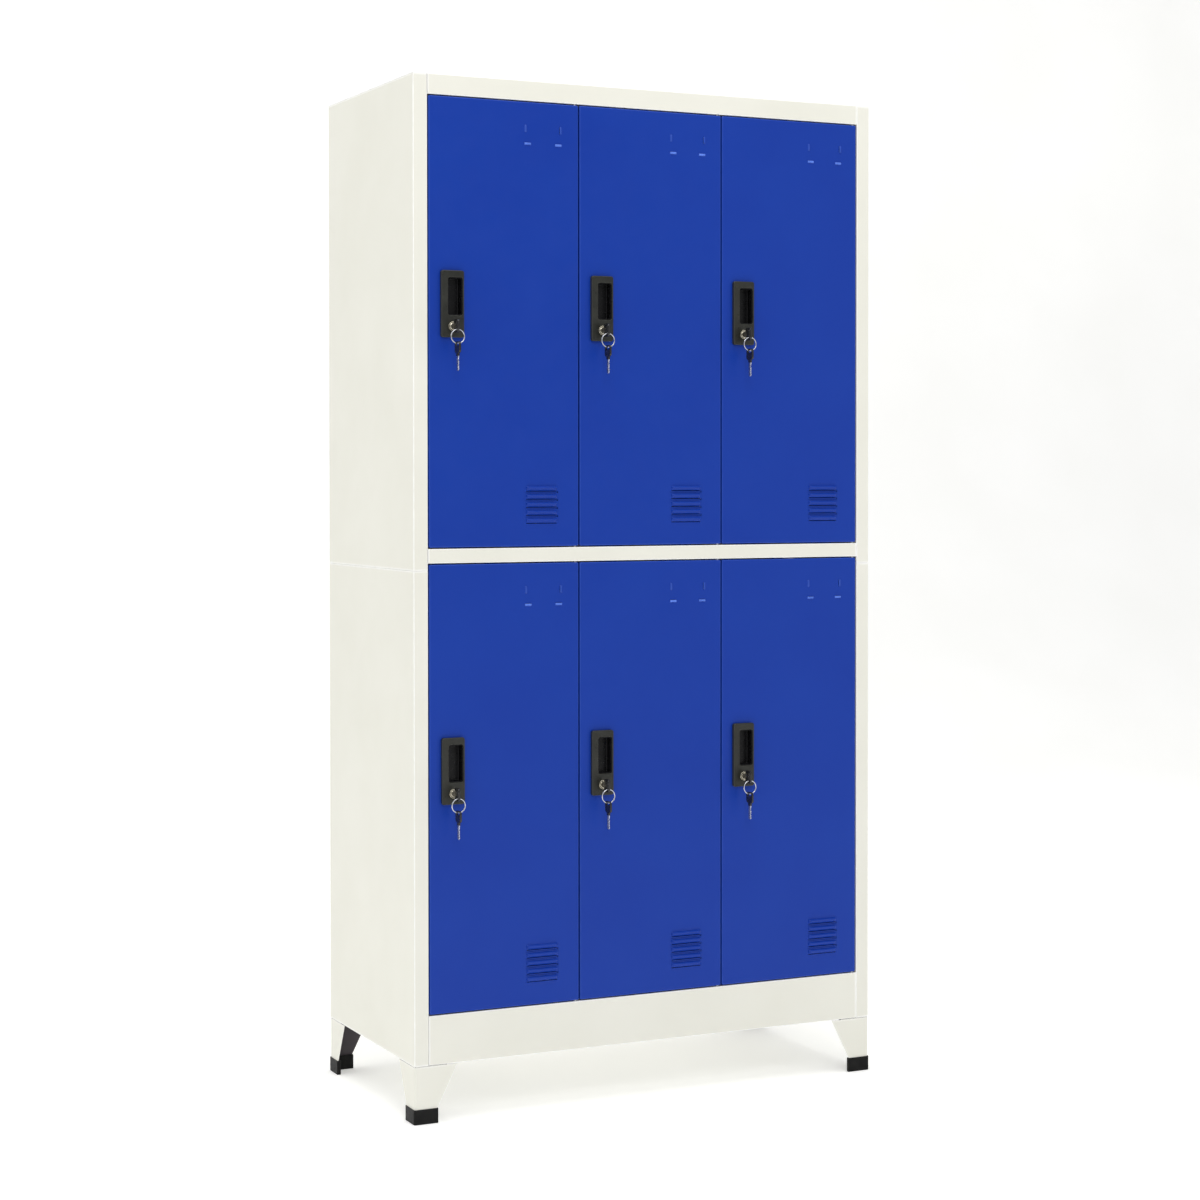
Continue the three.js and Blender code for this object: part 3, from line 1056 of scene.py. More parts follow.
@dataclass
class Carcass:
    """The folded steel body: sides with boxed stiles, top, shelf, floor, backs and dividers."""

    finishes: Finishes
    rows: ShapeTree
    sheet: float = 0.7
    bend: float = 1.7
    fold: float = 15.0
    gap: float = 0.3
    rim: float = 0.18
    stile_width: float = 26.0
    stile_depth: float = 20.0
    strike: float = 12.0
    leg_top: float = 78.0
    pin_hole: float = 3.2
    pin_from_edge: float = 6.0
    pin_from_front: float = 4.0
    rivet_radius: float = 3.2
    rivet_proud: float = 1.1
    tab_corner: float = 2.0
    back_corner: float = 6.0
    body: Extent = field(init=False)

    def __post_init__(self) -> None:
        """Takes the carcass's size from its lid."""
        self.body = Extent.of("top_panel")

    @property
    def opening(self) -> float:
        """Half the clear width between the stiles."""
        return self.body.x1 - self.stile_width - self.gap

    def build(self) -> None:
        """Makes every piece of the carcass."""
        for tier in ("lower", "upper"):
            self.side(tier)
            self.back(tier)
            self.divider(tier)
        self.trays()

    def dress(self, blank: bpy.types.Mesh, node: str, suffix: str, move: Matrix = Matrix.Identity(4)) -> None:
        """Paints one carcass piece and settles it in place of its node."""
        made = piece(f"{node}_{suffix}", blank, self.finishes.cream, move)
        settle(made, "carcass", Slot.CARCASS, node)

    def side(self, tier: str) -> None:
        """Both sides of a tier: wall, boxed stile, strike flange and rear fold, riveted to the back.

        Args:
            tier: The lower or the upper one.
        """
        box = Extent.of(f"{tier}_left_side")
        inner = box.x0 + self.stile_width
        flange = box.y0 + self.stile_depth
        path = [
            (inner + self.strike, flange),
            (inner, flange),
            (inner, box.y0),
            (box.x0, box.y0),
            (box.x0, box.y1),
            (box.x0 + self.fold, box.y1),
        ]
        shell = Shell()
        shell.slab(folded(path, self.sheet, self.bend), Axis.Z, (box.z0, box.z1), self.rim)
        end = box.z0 if tier == "lower" else box.z1 - self.sheet
        tab = rounded_box(
            box.x0 + self.sheet / 2,
            box.x0 + self.fold,
            box.y0 + self.leg_top,
            box.y1 - self.leg_top,
            self.tab_corner,
        )
        shell.slab(tab, Axis.Z, (end, end + self.sheet), self.rim)
        shell.add(self.rivets(box))
        blank = shell.blank("side")
        self.dress(blank, f"{tier}_left_side", "sheet")
        self.dress(blank, f"{tier}_right_side", "sheet", MIRROR_X)

    def rivets(self, box: Extent, count: int = 6) -> bpy.types.Mesh:
        """Domed rivet heads down the middle of a side's rear fold.

        Args:
            box: The side's extent.
            count: How many there are.

        Returns:
            The heads as one mesh.
        """
        head = Shell()
        low, high = box.y1 - self.sheet / 2, box.y1 + self.rivet_proud
        radius, crown = self.rivet_radius, self.rivet_proud
        turns = (0.15, 0.5, 0.85, 1.2, 1.45)
        dome = [(radius * math.cos(a), high - crown + crown * math.sin(a)) for a in turns]
        head.turned([(radius, low), (radius, high - crown), *dome], Axis.Y, (0.0, 0.0), 20)
        head.close()
        step = (box.z1 - box.z0) / count
        first = Vector((box.x0 + self.fold / 2, 0.0, box.z0 + step / 2))
        return copies_in_row(self.rows, head.mesh("rivet"), count, first, Vector((0.0, 0.0, step)))

    def back(self, tier: str) -> None:
        """A plain back sheet, held under the sides' rear folds.

        Args:
            tier: The lower or the upper one.
        """
        box = Extent.of(f"{tier}_back")
        shell = Shell()
        outline = rounded_box(box.x0, box.x1, box.z0, box.z1, self.back_corner)
        shell.slab(outline, Axis.Y, (box.y0, box.y1), self.rim, face=SUPPORT)
        self.dress(shell.blank("back"), f"{tier}_back", "sheet")

    def divider(self, tier: str) -> None:
        """Both dividers of a tier, each with a doubled flange that two doors close against.

        Args:
            tier: The lower or the upper one.
        """
        box = Extent.of(f"{tier}_left_divider")
        middle = (box.x0 + box.x1) / 2
        root = box.y0 + 2 * self.sheet
        half = self.sheet / 2
        section = [
            (box.x0, box.y0),
            (box.x1, box.y0),
            (box.x1, root),
            (middle + half, root),
            (middle + half, box.y1),
            (middle - half, box.y1),
            (middle - half, root),
            (box.x0, root),
        ]
        shell = Shell()
        rim, root_bend, end = 0.6, 1.2, 0.2
        radii = [rim, rim, rim, root_bend, end, end, root_bend, rim]
        outline = soften(section, radii, True, 4)
        shell.slab(outline, Axis.Z, (box.z0, box.z1), self.rim)
        blank = shell.blank("divider")
        self.dress(blank, f"{tier}_left_divider", "sheet")
        self.dress(blank, f"{tier}_right_divider", "sheet", MIRROR_X)

    def trays(self) -> None:
        """The lid, shelf and floor, each folded down at the front into its rail."""
        lid, shelf, floor = (Extent.of(node) for node in ("top_panel", "mid_shelf", "bottom_panel"))
        front, reach = self.body.y0, self.body.y0 + self.stile_depth - self.gap
        past = 2 * self.sheet
        plan = [
            ("top_panel", lid, (lid.z0 - past, lid.z0 + past)),
            ("mid_shelf", shelf, (shelf.z0 - past, shelf.z1 + past)),
            ("bottom_panel", floor, (floor.z1 - past, floor.z1 + past)),
        ]
        for node, box, holes in plan:
            path = [
                (reach, box.z0),
                (front, box.z0),
                (front, box.z1),
                (box.y1, box.z1),
                (box.y1, box.z1 - self.fold),
            ]
            shell = Shell()
            section = folded(path, self.sheet, self.bend)
            beside = self.opening - SUPPORT
            shell.slab(section, Axis.X, (box.x0, box.x1), self.rim, stops=(-beside, beside))
            shell.cut(self.clearances(box, holes, box is lid))
            self.dress(shell.blank(node), node, "sheet")

    def clearances(self, box: Extent, holes: Point, lid: bool) -> Shell:
        """What is cut from a tray: room for stiles and strike flanges, and holes for hinge pins.

        Args:
            box: The tray's extent.
            holes: The heights between which the pin holes go through it.
            lid: Whether it is the lid, whose top covers the stiles.

        Returns:
            The closed cutting shapes.
        """
        tool = Shell()
        front, wide = self.body.y0, self.body.x1 + self.fold
        flange = front + self.stile_depth
        under = box.z1 - self.sheet - self.gap / 2 if lid else box.z1 + self.fold
        span = (box.z0 - self.fold, under)
        neck = self.opening if lid else self.opening - self.strike
        notch = [
            (self.opening, front - self.fold),
            (wide, front - self.fold),
            (wide, flange + self.sheet + self.gap),
            (neck, flange + self.sheet + self.gap),
            (neck, flange - self.gap),
            (self.opening, flange - self.gap),
        ]
        for way in (1, -1):
            shape = [(way * x, y) for x, y in notch]
            ends = tool.stack([(shape, level) for level in span], Axis.Z)
            for ring in ends:
                tool.cap(ring)
            if lid:
                rear = [(way * x, y) for x, y in self.rear_notch(wide)]
                for ring in tool.stack([(rear, level) for level in span], Axis.Z):
                    tool.cap(ring)
        for column in ("left", "middle", "right"):
            pin_x = Extent.of(f"upper_{column}_door").x1 - self.pin_from_edge
            centre = (pin_x, front + self.pin_from_front)
            tool.turned([(self.pin_hole, holes[0]), (self.pin_hole, holes[1])], Axis.Z, centre, 20)
        return tool

    def rear_notch(self, wide: float) -> Outline:
        """Where the lid's rear fold stops short of the sides' rear folds.

        Args:
            wide: How far out the notch reaches.

        Returns:
            The notch's plan at the right side.
        """
        clear = self.body.x1 - self.fold - self.gap
        return [
            (clear, self.body.y1 - self.fold / 2),
            (wide, self.body.y1 - self.fold / 2),
            (wide, self.body.y1 + self.fold),
            (clear, self.body.y1 + self.fold),
        ]


@dataclass
class Leg:
    """A tapered leg of folded plate with its flange, screws and moulded foot cap, drawn at the front left."""

    finishes: Finishes
    rows: ShapeTree
    plate: float = 1.5
    bend: float = 5.0
    top_width: float = 78.0
    foot_width: float = 42.0
    seam: float = 0.8
    flange: float = 60.0
    gap: float = 0.3
    cap_arm: float = 44.5
    cap_thick: float = 7.5
    cap_proud: float = 1.5
    cap_floor: float = 2.5
    cap_end: float = 2.0  # the wall at the end of each arm of a cap's pocket
    foot_clear: float = 2.5  # the same, with room for the foot
    flange_corner: float = 4.0
    screw_radius: float = 4.2
    screw_height: float = 2.4
    # how strongly the leg's rims take the paler edge colour: a worn look and a painted highlight
    wear_and_highlight_strength: float = 0.5

    def build(self) -> None:
        """Makes the four legs and their caps."""
        leg_box, cap_box = Extent.of("front_left_leg"), Extent.of("front_left_foot_cap")
        corner = Vector((leg_box.x0, leg_box.y0, 0.0))
        plate, boot = self.plate_blank(leg_box, cap_box), self.cap_blank(cap_box)
        back = Extent.of("back_left_leg").y1
        for row, flip_y in (("front", False), ("back", True)):
            for side, flip_x in (("left", False), ("right", True)):
                move = Matrix.Translation(corner)
                if flip_y:
                    move = Matrix.Translation((corner.x, back, 0.0)) @ MIRROR_Y
                if flip_x:
                    move = MIRROR_X @ move
                name = f"{row}_{side}"
                leg = piece(f"{name}_leg_plate", plate, self.finishes.cream, move)
                leg.data.materials.append(self.finishes.primer)
                settle(leg, "carcass", Slot.CARCASS, f"{name}_leg")
                cap = piece(f"{name}_foot_boot", boot, self.finishes.foot_plastic, move)
                settle(cap, "carcass", Slot.FOOT, f"{name}_foot_cap")

    def section(self, width: float) -> Outline:
        """The leg's folded section where its flanges are a width across."""
        path = [(width, 0.0), (0.0, 0.0), (0.0, width)]
        return folded(path, self.plate, self.bend, 8)

    def plate_blank(self, box: Extent, cap: Extent) -> bpy.types.Mesh:
        """The folded and tapered plate, its fixing flange and the screws through that.

        Args:
            box: The leg's extent.
            cap: Its foot cap's extent.

        Returns:
            The leg's mesh.
        """
        shell = Shell()
        rim, inside = 0.3, self.cap_arm - self.cap_proud - self.foot_clear
        shoulder = cap.z1 + self.gap
        low, high = shoulder + rim, box.z1 - self.seam
        slope = (self.top_width - self.foot_width) / (high - low)
        levels = [(box.z0, inside, rim), (box.z0 + rim, inside, 0.0), (shoulder, inside, 0.0)]
        for z in (low, low + SUPPORT, high - rim - SUPPORT, high - rim):
            levels.append((z, self.foot_width + slope * (z - low), 0.0))
        levels.append((high, self.top_width, rim))
        rings = shell.stack([(inset(self.section(width), shrink), z) for z, width, shrink in levels], Axis.Z)
        for ring in rings:
            shell.cap(ring)
        span = (box.z1 - self.plate, box.z1)
        start = self.plate / 2
        fixing = rounded_box(start, self.flange, start, self.flange, self.flange_corner)
        shell.slab(fixing, Axis.Z, span, rim)
        shell.add(self.screws(span[0]))
        made = shell.blank("leg", self.wear_and_highlight_strength)
        # faces inside the L take the dark grey finish: painted shade
        inner_side = self.plate - 0.1
        for face in made.polygons:
            if min(face.center.x, face.center.y) > inner_side:
                face.material_index = 1
        return made

    def screws(self, under: float) -> bpy.types.Mesh:
        """Two pan-head screws below the fixing flange.

        Args:
            under: The height of the flange's underside.

        Returns:
            The heads as one mesh.
        """
        head = Shell()
        radius, height, shank = self.screw_radius, self.screw_height, 0.4
        dome = [(radius * math.cos(a), -height * math.sin(a)) for a in (0.2, 0.6, 1.0, 1.35)]
        drive = [(radius * 0.34, -height * 0.6)]
        head.turned([(radius, shank), *dome, *drive], Axis.Z, (0.0, 0.0), 24)
        head.close()
        first = Vector((self.flange * 0.35, self.flange * 0.75, under))
        step = Vector((self.flange * 0.4, -self.flange * 0.4, 0.0))
        return copies_in_row(self.rows, head.mesh("screw"), 2, first, step)

    def cap_blank(self, box: Extent) -> bpy.types.Mesh:
        """The L-shaped boot that the leg's foot stands in.

        Args:
            box: The cap's extent.

        Returns:
            The cap's mesh.
        """
        low, far = -self.cap_proud, self.cap_arm - self.cap_proud
        across = self.cap_thick - self.cap_proud
        corners = [(low, low), (far, low), (far, across), (across, across), (across, far), (low, far)]
        outer = soften(corners, [4.0, 1.6, 1.6, 1.2, 1.6, 1.6], True, 6)
        reach = far - self.cap_end
        inner_corners = [
            (-self.gap, -self.gap),
            (reach, -self.gap),
            (reach, self.plate + self.gap),
            (self.plate + self.gap, self.plate + self.gap),
            (self.plate + self.gap, reach),
            (-self.gap, reach),
        ]
        pocket = soften(inner_corners, [3.4, 0.3, 0.3, 1.0, 0.3, 0.3], True, 6)
        shell = Shell()
        foot, rim = 1.2, 0.45
        levels = [(inset(outer, i), box.z0 + d) for i, d in rounding(foot, 3)]
        levels += [(outer, box.z0 + foot + SUPPORT), (outer, box.z1 - rim - SUPPORT)]
        levels += [(inset(outer, i), box.z1 - d) for i, d in reversed(rounding(rim, 2))]
        bottom, top = shell.stack(levels, Axis.Z)
        mouth, floor = shell.stack([(pocket, box.z1), (pocket, box.z0 + self.cap_floor)], Axis.Z)
        shell.cap(bottom)
        shell.cap(top, mouth)
        shell.cap(floor)
        return shell.blank("foot_cap")


# ---------------------------------------------------------------- doors


@dataclass(frozen=True)
class Pressing:
    """A tab or hood lanced out of the door's face, closed on one long side and open on the other."""

    width: float
    rise: float
    proud: float
    end: float  # the length of each rounded end
    crest: float  # where it is proudest, as a share of its rise
    lip: float  # how much of its height is left at the open side
    painted_highlight: float  # how strong the painted highlight on it is, from 0 to 1
    drop: float = 0.3  # how far the opening reaches past the lip
    sheet: float = 0.7

    def spots(self) -> list[Point]:
        """Places along the width and how much of the full height each has.

        Returns:
            The places and shares in order.
        """
        turns = [math.pi / 2 * i / 5 for i in range(6)]
        left = [(self.end * (1 - math.cos(a)), math.sin(a)) for a in turns]
        return left + [(self.width - place, share) for place, share in reversed(left)]

    def rows(self) -> list[Point]:
        """Places from the closed side to the open side and how much of the full height each has.

        Returns:
            The places and shares in order.
        """
        steps = 10
        made = []
        for t in (k / steps for k in range(steps + 1)):
            front = math.sin(math.pi / 2 * min(1.0, t / self.crest))
            past = math.pi / 2 * max(0.0, t - self.crest) / (1.0 - self.crest)
            made.append((self.rise * t, front - (1.0 - self.lip) * (1.0 - math.cos(past))))
        return made

    def border(self) -> list[Point]:
        """The pressing's outline in its own width and rise, all the way round.

        Returns:
            The closed outline.
        """
        along = [place for place, _ in self.spots()]
        up = [place for place, _ in self.rows()]
        return (
            [(a, 0.0) for a in along]
            + [(self.width, b) for b in up[1:]]
            + [(self.width, self.rise + self.drop), (0.0, self.rise + self.drop)]
            + [(0.0, b) for b in reversed(up[1:])]
        )

    def collar(self, border: Outline, width: float = 2.4) -> Outline:
        """The flat that a pressing's edge lies in: its border on the door, grown by a width."""
        area = sum(a[0] * b[1] - b[0] * a[1] for a, b in zip(border, border[1:] + border[:1]))
        return inset(border, -width if area > 0 else width)

    def blank(self, corner: Point, along: Point, across: Point) -> bpy.types.Mesh:
        """The pressed skin, outside and inside, joined along its free lip.

        Args:
            corner: Where the closed side starts, across and up the door.
            along: The way of its width.
            across: The way from its closed side to its open side.

        Returns:
            The skin as an open mesh.
        """
        shell = Shell()
        skins = []
        for depth in (0.0, self.sheet):
            grid = []
            for up, front in self.rows():
                line = []
                for place, share in self.spots():
                    lift = self.proud * share * front
                    x = corner[0] + along[0] * place + across[0] * up
                    z = corner[1] + along[1] * place + across[1] * up
                    line.append(shell.bm.verts.new((x, depth - lift, z)))
                grid.append(line)
            for first, second in zip(grid, grid[1:]):
                shell.bridge(first, second, closed=False)
            skins.append(grid)
        shell.bridge(skins[0][-1], skins[1][-1], closed=False)
        return shell.mesh("pressing")


@dataclass
class Door:
    """A folded pan door with louvres, card tabs, a lock opening and hinge pins.

    It is drawn from its lower left front corner.
    """

    rows: ShapeTree
    width: float
    height: float
    depth: float = 17.0
    sheet: float = 0.7
    lip: float = 12.0
    bend: float = 2.4
    corner: float = 2.8
    pin_radius: float = 2.5
    pin_reach: float = 9.0
    pin_root: float = 3.0
    pin_from_edge: float = 6.0
    pin_from_front: float = 4.0
    louvre: Pressing = Pressing(58.0, 8.5, 4.0, 5.0, 0.25, 0.15, 0.0, 1.2)
    louvre_count: int = 5
    louvre_pitch: float = 14.0
    louvre_from_edge: float = 42.0
    louvre_from_bottom: float = 41.0
    # the last number given to each tab is its painted highlight: pale paint over the tab
    foot_tab: Pressing = Pressing(13.0, 4.2, 2.2, 4.0, 0.55, 0.7, 1.0)
    side_tab: Pressing = Pressing(13.0, 4.0, 1.7, 3.5, 0.55, 0.7, 0.22)
    card_from_edge: float = 32.0
    card_from_top: float = 75.0
    card_width: float = 71.0
    side_tab_rise: float = 22.0
    lock_hole: tuple[float, float, float, float] = (30.6, 61.4, 370.2, 467.1)
    lock_hole_corner: float = 1.5
    # how strongly the door's folds take the paler edge colour: a painted highlight along each fold
    wear_and_highlight_strength: float = 0.12

    def pan_levels(self) -> list[Point]:
        """Inset and depth of each ring of the pan, from the face round the folds to the face's back.

        Returns:
            The pairs in order.
        """
        steps = 5
        turns = [math.pi / 2 * i / steps for i in range(steps + 1)]
        out, thin = self.bend, self.bend - self.sheet
        front = [(out - out * math.sin(a), out - out * math.cos(a)) for a in turns]
        back = [(out - out * math.cos(a), self.depth - out + out * math.sin(a)) for a in turns]
        inner_back = [(out - thin * math.sin(a), self.depth - out + thin * math.cos(a)) for a in turns]
        inner_front = [(out - thin * math.cos(a), out - thin * math.sin(a)) for a in turns]
        lip = [
            (self.lip - SUPPORT, self.depth),
            (self.lip, self.depth),
            (self.lip, self.depth - self.sheet),
            (self.lip - SUPPORT, self.depth - self.sheet),
        ]
        flat = out + SUPPORT
        return [(flat, 0.0), *front, *back, *lip, *inner_back, *inner_front, (flat, self.sheet)]

    def pan_outline(self, shrink: float) -> Outline:
        """The door's outline at an inset, its corners rounded."""
        radius = max(0.4, self.corner - shrink)
        return rounded_box(shrink, self.width - shrink, shrink, self.height - shrink, radius, 4)

    def pressings(self) -> list[tuple[Pressing, Point, Point, Point]]:
        """Every tab and hood with its closed corner, its width's way and its opening's way.

        Returns:
            The louvre's hoods, lowest first, and then the card tabs.
        """
        left = self.width - self.louvre_from_edge - self.louvre.width
        top = self.louvre_from_bottom + self.louvre.rise
        hoods = [
            (self.louvre, (left, top + i * self.louvre_pitch), (1.0, 0.0), (0.0, -1.0))
            for i in range(self.louvre_count)
        ]
        return hoods + self.card_tabs()

    def card_tabs(self) -> list[tuple[Pressing, Point, Point, Point]]:
        """Two tabs that a name card stands in and two that hold its sides.

        Returns:
            Each tab with its corner and its two ways.
        """
        right = self.width - self.card_from_edge
        left = right - self.card_width
        low = self.height - self.card_from_top
        side = low + self.side_tab_rise
        return [
            (self.foot_tab, (left, low), (1.0, 0.0), (0.0, 1.0)),
            (self.foot_tab, (right - self.foot_tab.width, low), (1.0, 0.0), (0.0, 1.0)),
            (self.side_tab, (left, side), (0.0, 1.0), (1.0, 0.0)),
            (self.side_tab, (right, side), (0.0, 1.0), (-1.0, 0.0)),
        ]

    def panel_blank(self) -> bpy.types.Mesh:
        """The whole painted door.

        Returns:
            The door's mesh.
        """
        shell = Shell()
        face, behind = shell.stack([(self.pan_outline(i), d) for i, d in self.pan_levels()], Axis.Y)
        fronts, backs = [face], [behind]
        for pressing, corner, along, across in self.pressings():
            border = [
                (corner[0] + along[0] * a + across[0] * b, corner[1] + along[1] * a + across[1] * b)
                for a, b in pressing.border()
            ]
            outside, inside = shell.ring(border, Axis.Y, 0.0), shell.ring(border, Axis.Y, self.sheet)
            start = len(pressing.spots()) + len(pressing.rows()) - 2
            shell.bridge(outside[start : start + 4], inside[start : start + 4], closed=False)
            for rings, edge, level in ((fronts, outside, 0.0), (backs, inside, self.sheet)):
                collar = shell.ring(pressing.collar(border), Axis.Y, level)
                shell.bridge(edge, collar)
                rings.append(collar)
        hole = rounded_box(*self.lock_hole, self.lock_hole_corner, 3)
        collar = inset(hole, -SUPPORT)
        rings = [(collar, 0.0), (hole, 0.0), (hole, self.sheet), (collar, self.sheet)]
        outside, inside = shell.stack(rings, Axis.Y)
        shell.cap(*fronts, outside)
        shell.cap(*backs, inside)
        first = self.pressings()[0]
        hood = first[0].blank((0.0, 0.0), first[2], first[3])
        bank = copies_in_row(
            self.rows,
            hood,
            self.louvre_count,
            Vector((first[1][0], 0.0, first[1][1])),
            Vector((0.0, 0.0, self.louvre_pitch)),
        )
        shell.add(bank)
        for pressing, corner, along, across in self.card_tabs():
            shell.add(pressing.blank(corner, along, across))
        made = shell.blank("door", self.wear_and_highlight_strength)
        self.paint_pressing_highlights(made)
        return made

    def paint_pressing_highlights(self, made: bpy.types.Mesh, margin: float = 1.6) -> None:
        """Paints a highlight on each pressing: pale paint where it stands proud, by its painted highlight
        share.

        Args:
            made: The door's mesh in millimetres.
            margin: How far round a pressing it reaches.
        """
        wear_and_highlight = made.attributes["wear_and_highlight"].data
        for pressing, corner, along, across in self.pressings():
            reach = [along[i] * pressing.width + across[i] * pressing.rise for i in (0, 1)]
            low_x, high_x = sorted((corner[0], corner[0] + reach[0]))
            low_z, high_z = sorted((corner[1], corner[1] + reach[1]))
            for vert in made.vertices:
                x, y, z = vert.co
                across_it = low_x - margin < x < high_x + margin
                up_it = low_z - margin < z < high_z + margin
                if across_it and up_it and y < self.lip:
                    # pale blue here is a painted highlight on the parts that stand proud
                    wear_and_highlight[vert.index].value = pressing.painted_highlight * min(1.0, max(0.0, -y))

    def pin_blank(self) -> bpy.types.Mesh:
        """The hinge pins at the top and bottom of the hinge edge.

        Returns:
            Both pins as one mesh.
        """
        shell = Shell()
        radius, soft = self.pin_radius, 0.5
        centre = (self.width - self.pin_from_edge, self.pin_from_front)
        for end, way in ((self.height, 1.0), (0.0, -1.0)):
            tip = end + way * self.pin_reach
            root = end - way * self.pin_root
            levels = [(radius, root), (radius, tip - way * 2 * soft), (radius - soft, tip)]
            shell.turned(levels, Axis.Z, centre, 20)
        return shell.blank("pins")


# ---------------------------------------------------------------- lock and keys


@dataclass
class Lock:
    """A lock on a door: moulded plate with a finger recess, plated plug, cam and a split ring.

    The plate and its recess are drawn from the door's lower left front corner, the plug and cam from the
    lock's axis.
    """

    coil: ShapeTree
    housing: Extent
    axis: Point
    corner: float = 4.0
    crown: float = 1.4
    recess: tuple[float, float, float, float] = (32.5, 59.5, 398.5, 463.5)
    recess_floor: float = 11.5
    recess_corner: float = 4.0
    recess_draft: float = 0.6  # how much narrower the recess is at its floor
    wall: float = 1.6
    seat: float = -0.3  # the plate's back, just off the door
    boss: float = 9.0
    boss_end: float = 18.0
    bore: float = 6.5
    plug: float = 6.0
    rim: float = 8.2
    rim_front: float = -9.2
    slot_end: float = 17.8
    cam_from: float = 24.5
    cam_thick: float = 2.0
    cam_half: float = 7.0
    cam_reach: float = 37.5
    nut_radius: float = 9.2
    nut_thick: float = 2.4

    def plate_blank(self) -> bpy.types.Mesh:
        """The moulded plate with its finger recess, and the boss that the plug turns in.

        Returns:
            The plate's mesh.
        """
        box = self.housing
        outline = rounded_box(box.x0, box.x1, box.z0, box.z1, self.corner, 6)
        back, face = self.seat, box.y0
        shell = Shell()
        beside, mouth_soft, floor_soft, draft = 0.3, 0.9, 2.0, self.recess_draft
        crown = [(inset(outline, i), face + d) for i, d in reversed(rounding(self.crown, 4))]
        crown.append((inset(outline, self.crown + beside), face))
        rear = [(inset(outline, 0.3), back), (outline, back - 0.4)]
        behind, front = shell.stack([*rear, *crown], Axis.Y)
        hollow = rounded_box(*self.recess, self.recess_corner, 6)
        walls = [(inset(hollow, -mouth_soft - beside), face)]
        walls += [(inset(hollow, -i), face + d) for i, d in rounding(mouth_soft, 4)]
        walls += [(inset(hollow, draft), self.recess_floor - floor_soft)]
        turn = reversed(rounding(floor_soft, 4))
        walls += [(inset(hollow, draft + i), self.recess_floor - d) for i, d in turn]
        mouth, floor = shell.stack(walls, Axis.Y)
        bore_rings = [
            (self.rim + 2.2, face),
            (self.rim + 0.9, face),
            (self.rim + 0.5, face + 0.4),
            (self.bore, face + 0.7),
            (self.bore, self.boss_end),
        ]
        lip, tail = shell.lathe(bore_rings, Axis.Y, self.axis, 40)
        shell.cap(front, mouth, lip)
        shell.cap(floor)
        trim, cup_soft = 0.3, 1.5
        cup = rounded_box(
            self.recess[0] - self.wall + trim,
            self.recess[1] + self.wall - trim,
            self.recess[2] - self.wall + trim,
            self.recess[3] + self.wall - trim,
            self.recess_corner + 1.0,
            6,
        )
        cup_levels = [(cup, back), (cup, self.recess_floor + self.wall - cup_soft)]
        cup_levels.append((inset(cup, cup_soft), self.recess_floor + self.wall))
        cup_foot, cup_end = shell.stack(cup_levels, Axis.Y)
        boss_levels = [
            (self.boss, back),
            (self.boss, self.boss_end - 0.6),
            (self.boss - 0.6, self.boss_end),
        ]
        boss_foot, boss_end = shell.lathe(boss_levels, Axis.Y, self.axis, 40)
        shell.cap(behind, cup_foot, boss_foot)
        shell.cap(cup_end)
        shell.cap(boss_end, tail)
        return shell.blank("lock_plate")

    def grip_blank(self) -> bpy.types.Mesh:
        """The thin grip that lines the finger recess, in a blacker finish that is a painted shade in the
        recess.

        Returns:
            The grip's mesh.
        """
        thick, clear, soft, below_rim = 0.8, 0.65, 2.0, 1.8
        mouth = self.housing.y0 + below_rim
        hollow = rounded_box(*self.recess, self.recess_corner, 6)
        floor = self.recess_floor - 0.05
        outside = [(inset(hollow, clear), mouth), (inset(hollow, clear), floor - soft)]
        outside += [(inset(hollow, clear + i), floor - d) for i, d in reversed(rounding(soft, 3))]
        inner = clear + thick
        inside = [(inset(hollow, inner), mouth), (inset(hollow, inner), floor - thick - soft)]
        inside += [(inset(hollow, inner + i), floor - thick - d) for i, d in reversed(rounding(soft, 3))]
        shell = Shell()
        outer_mouth, outer_end = shell.stack(outside, Axis.Y)
        inner_mouth, inner_end = shell.stack(inside, Axis.Y)
        shell.bridge(outer_mouth, inner_mouth)
        shell.cap(outer_end)
        shell.cap(inner_end)
        return shell.blank("grip")

    def plug_blank(self) -> bpy.types.Mesh:
        """The plated plug: rounded rim, a turned groove and the key's slot.

        Returns:
            The plug's mesh.
        """
        front, edge, flange, tail_past = self.rim_front, 0.7, 1.6, 3.0
        tail_end = self.cam_from + self.cam_thick + tail_past
        profile = [(self.plug, tail_end), (self.plug, front + flange)]
        profile += [(self.rim - 0.3, front + flange), (self.rim, front + 1.3), (self.rim, front + edge)]
        profile += [(self.rim - i, front + d) for i, d in reversed(rounding(edge, 4))][1:]
        profile += [(6.5, front), (6.2, front + 0.5), (5.7, front + 0.5), (5.4, front + 0.1)]
        shell = Shell()
        tail, face = shell.lathe(profile, Axis.Y, (0.0, 0.0), 48)
        slot = rounded_box(-1.4, 1.4, -4.4, 4.4, 0.3, 2)
        mouth, end = shell.stack([(slot, front + 0.1), (slot, self.slot_end)], Axis.Y)
        shell.cap(tail)
        shell.cap(face, mouth)
        shell.cap(end)
        return shell.blank("plug")

    def cam_blank(self) -> bpy.types.Mesh:
        """The cam on the plug's tail, pointing down, and the nut that holds it.

        Returns:
            The cam's mesh.
        """
        half, foot = self.cam_half, -self.cam_reach + self.cam_half
        outline = arc((0.0, 0.0), half, 0.0, 180.0, 16) + arc((0.0, foot), half, 180.0, 360.0, 16)
        hole = circle(0.0, 0.0, self.plug + 0.1, 32)
        shell = Shell()
        back = self.cam_from + self.cam_thick
        shell.slab(outline, Axis.Y, (self.cam_from, back), 0.35, [hole])
        nut = soften(circle(0.0, 0.0, self.nut_radius, 6), 0.8, True, 2)
        shell.slab(nut, Axis.Y, (back + 0.05, back + self.nut_thick), 0.4, [hole])
        return shell.blank("cam")

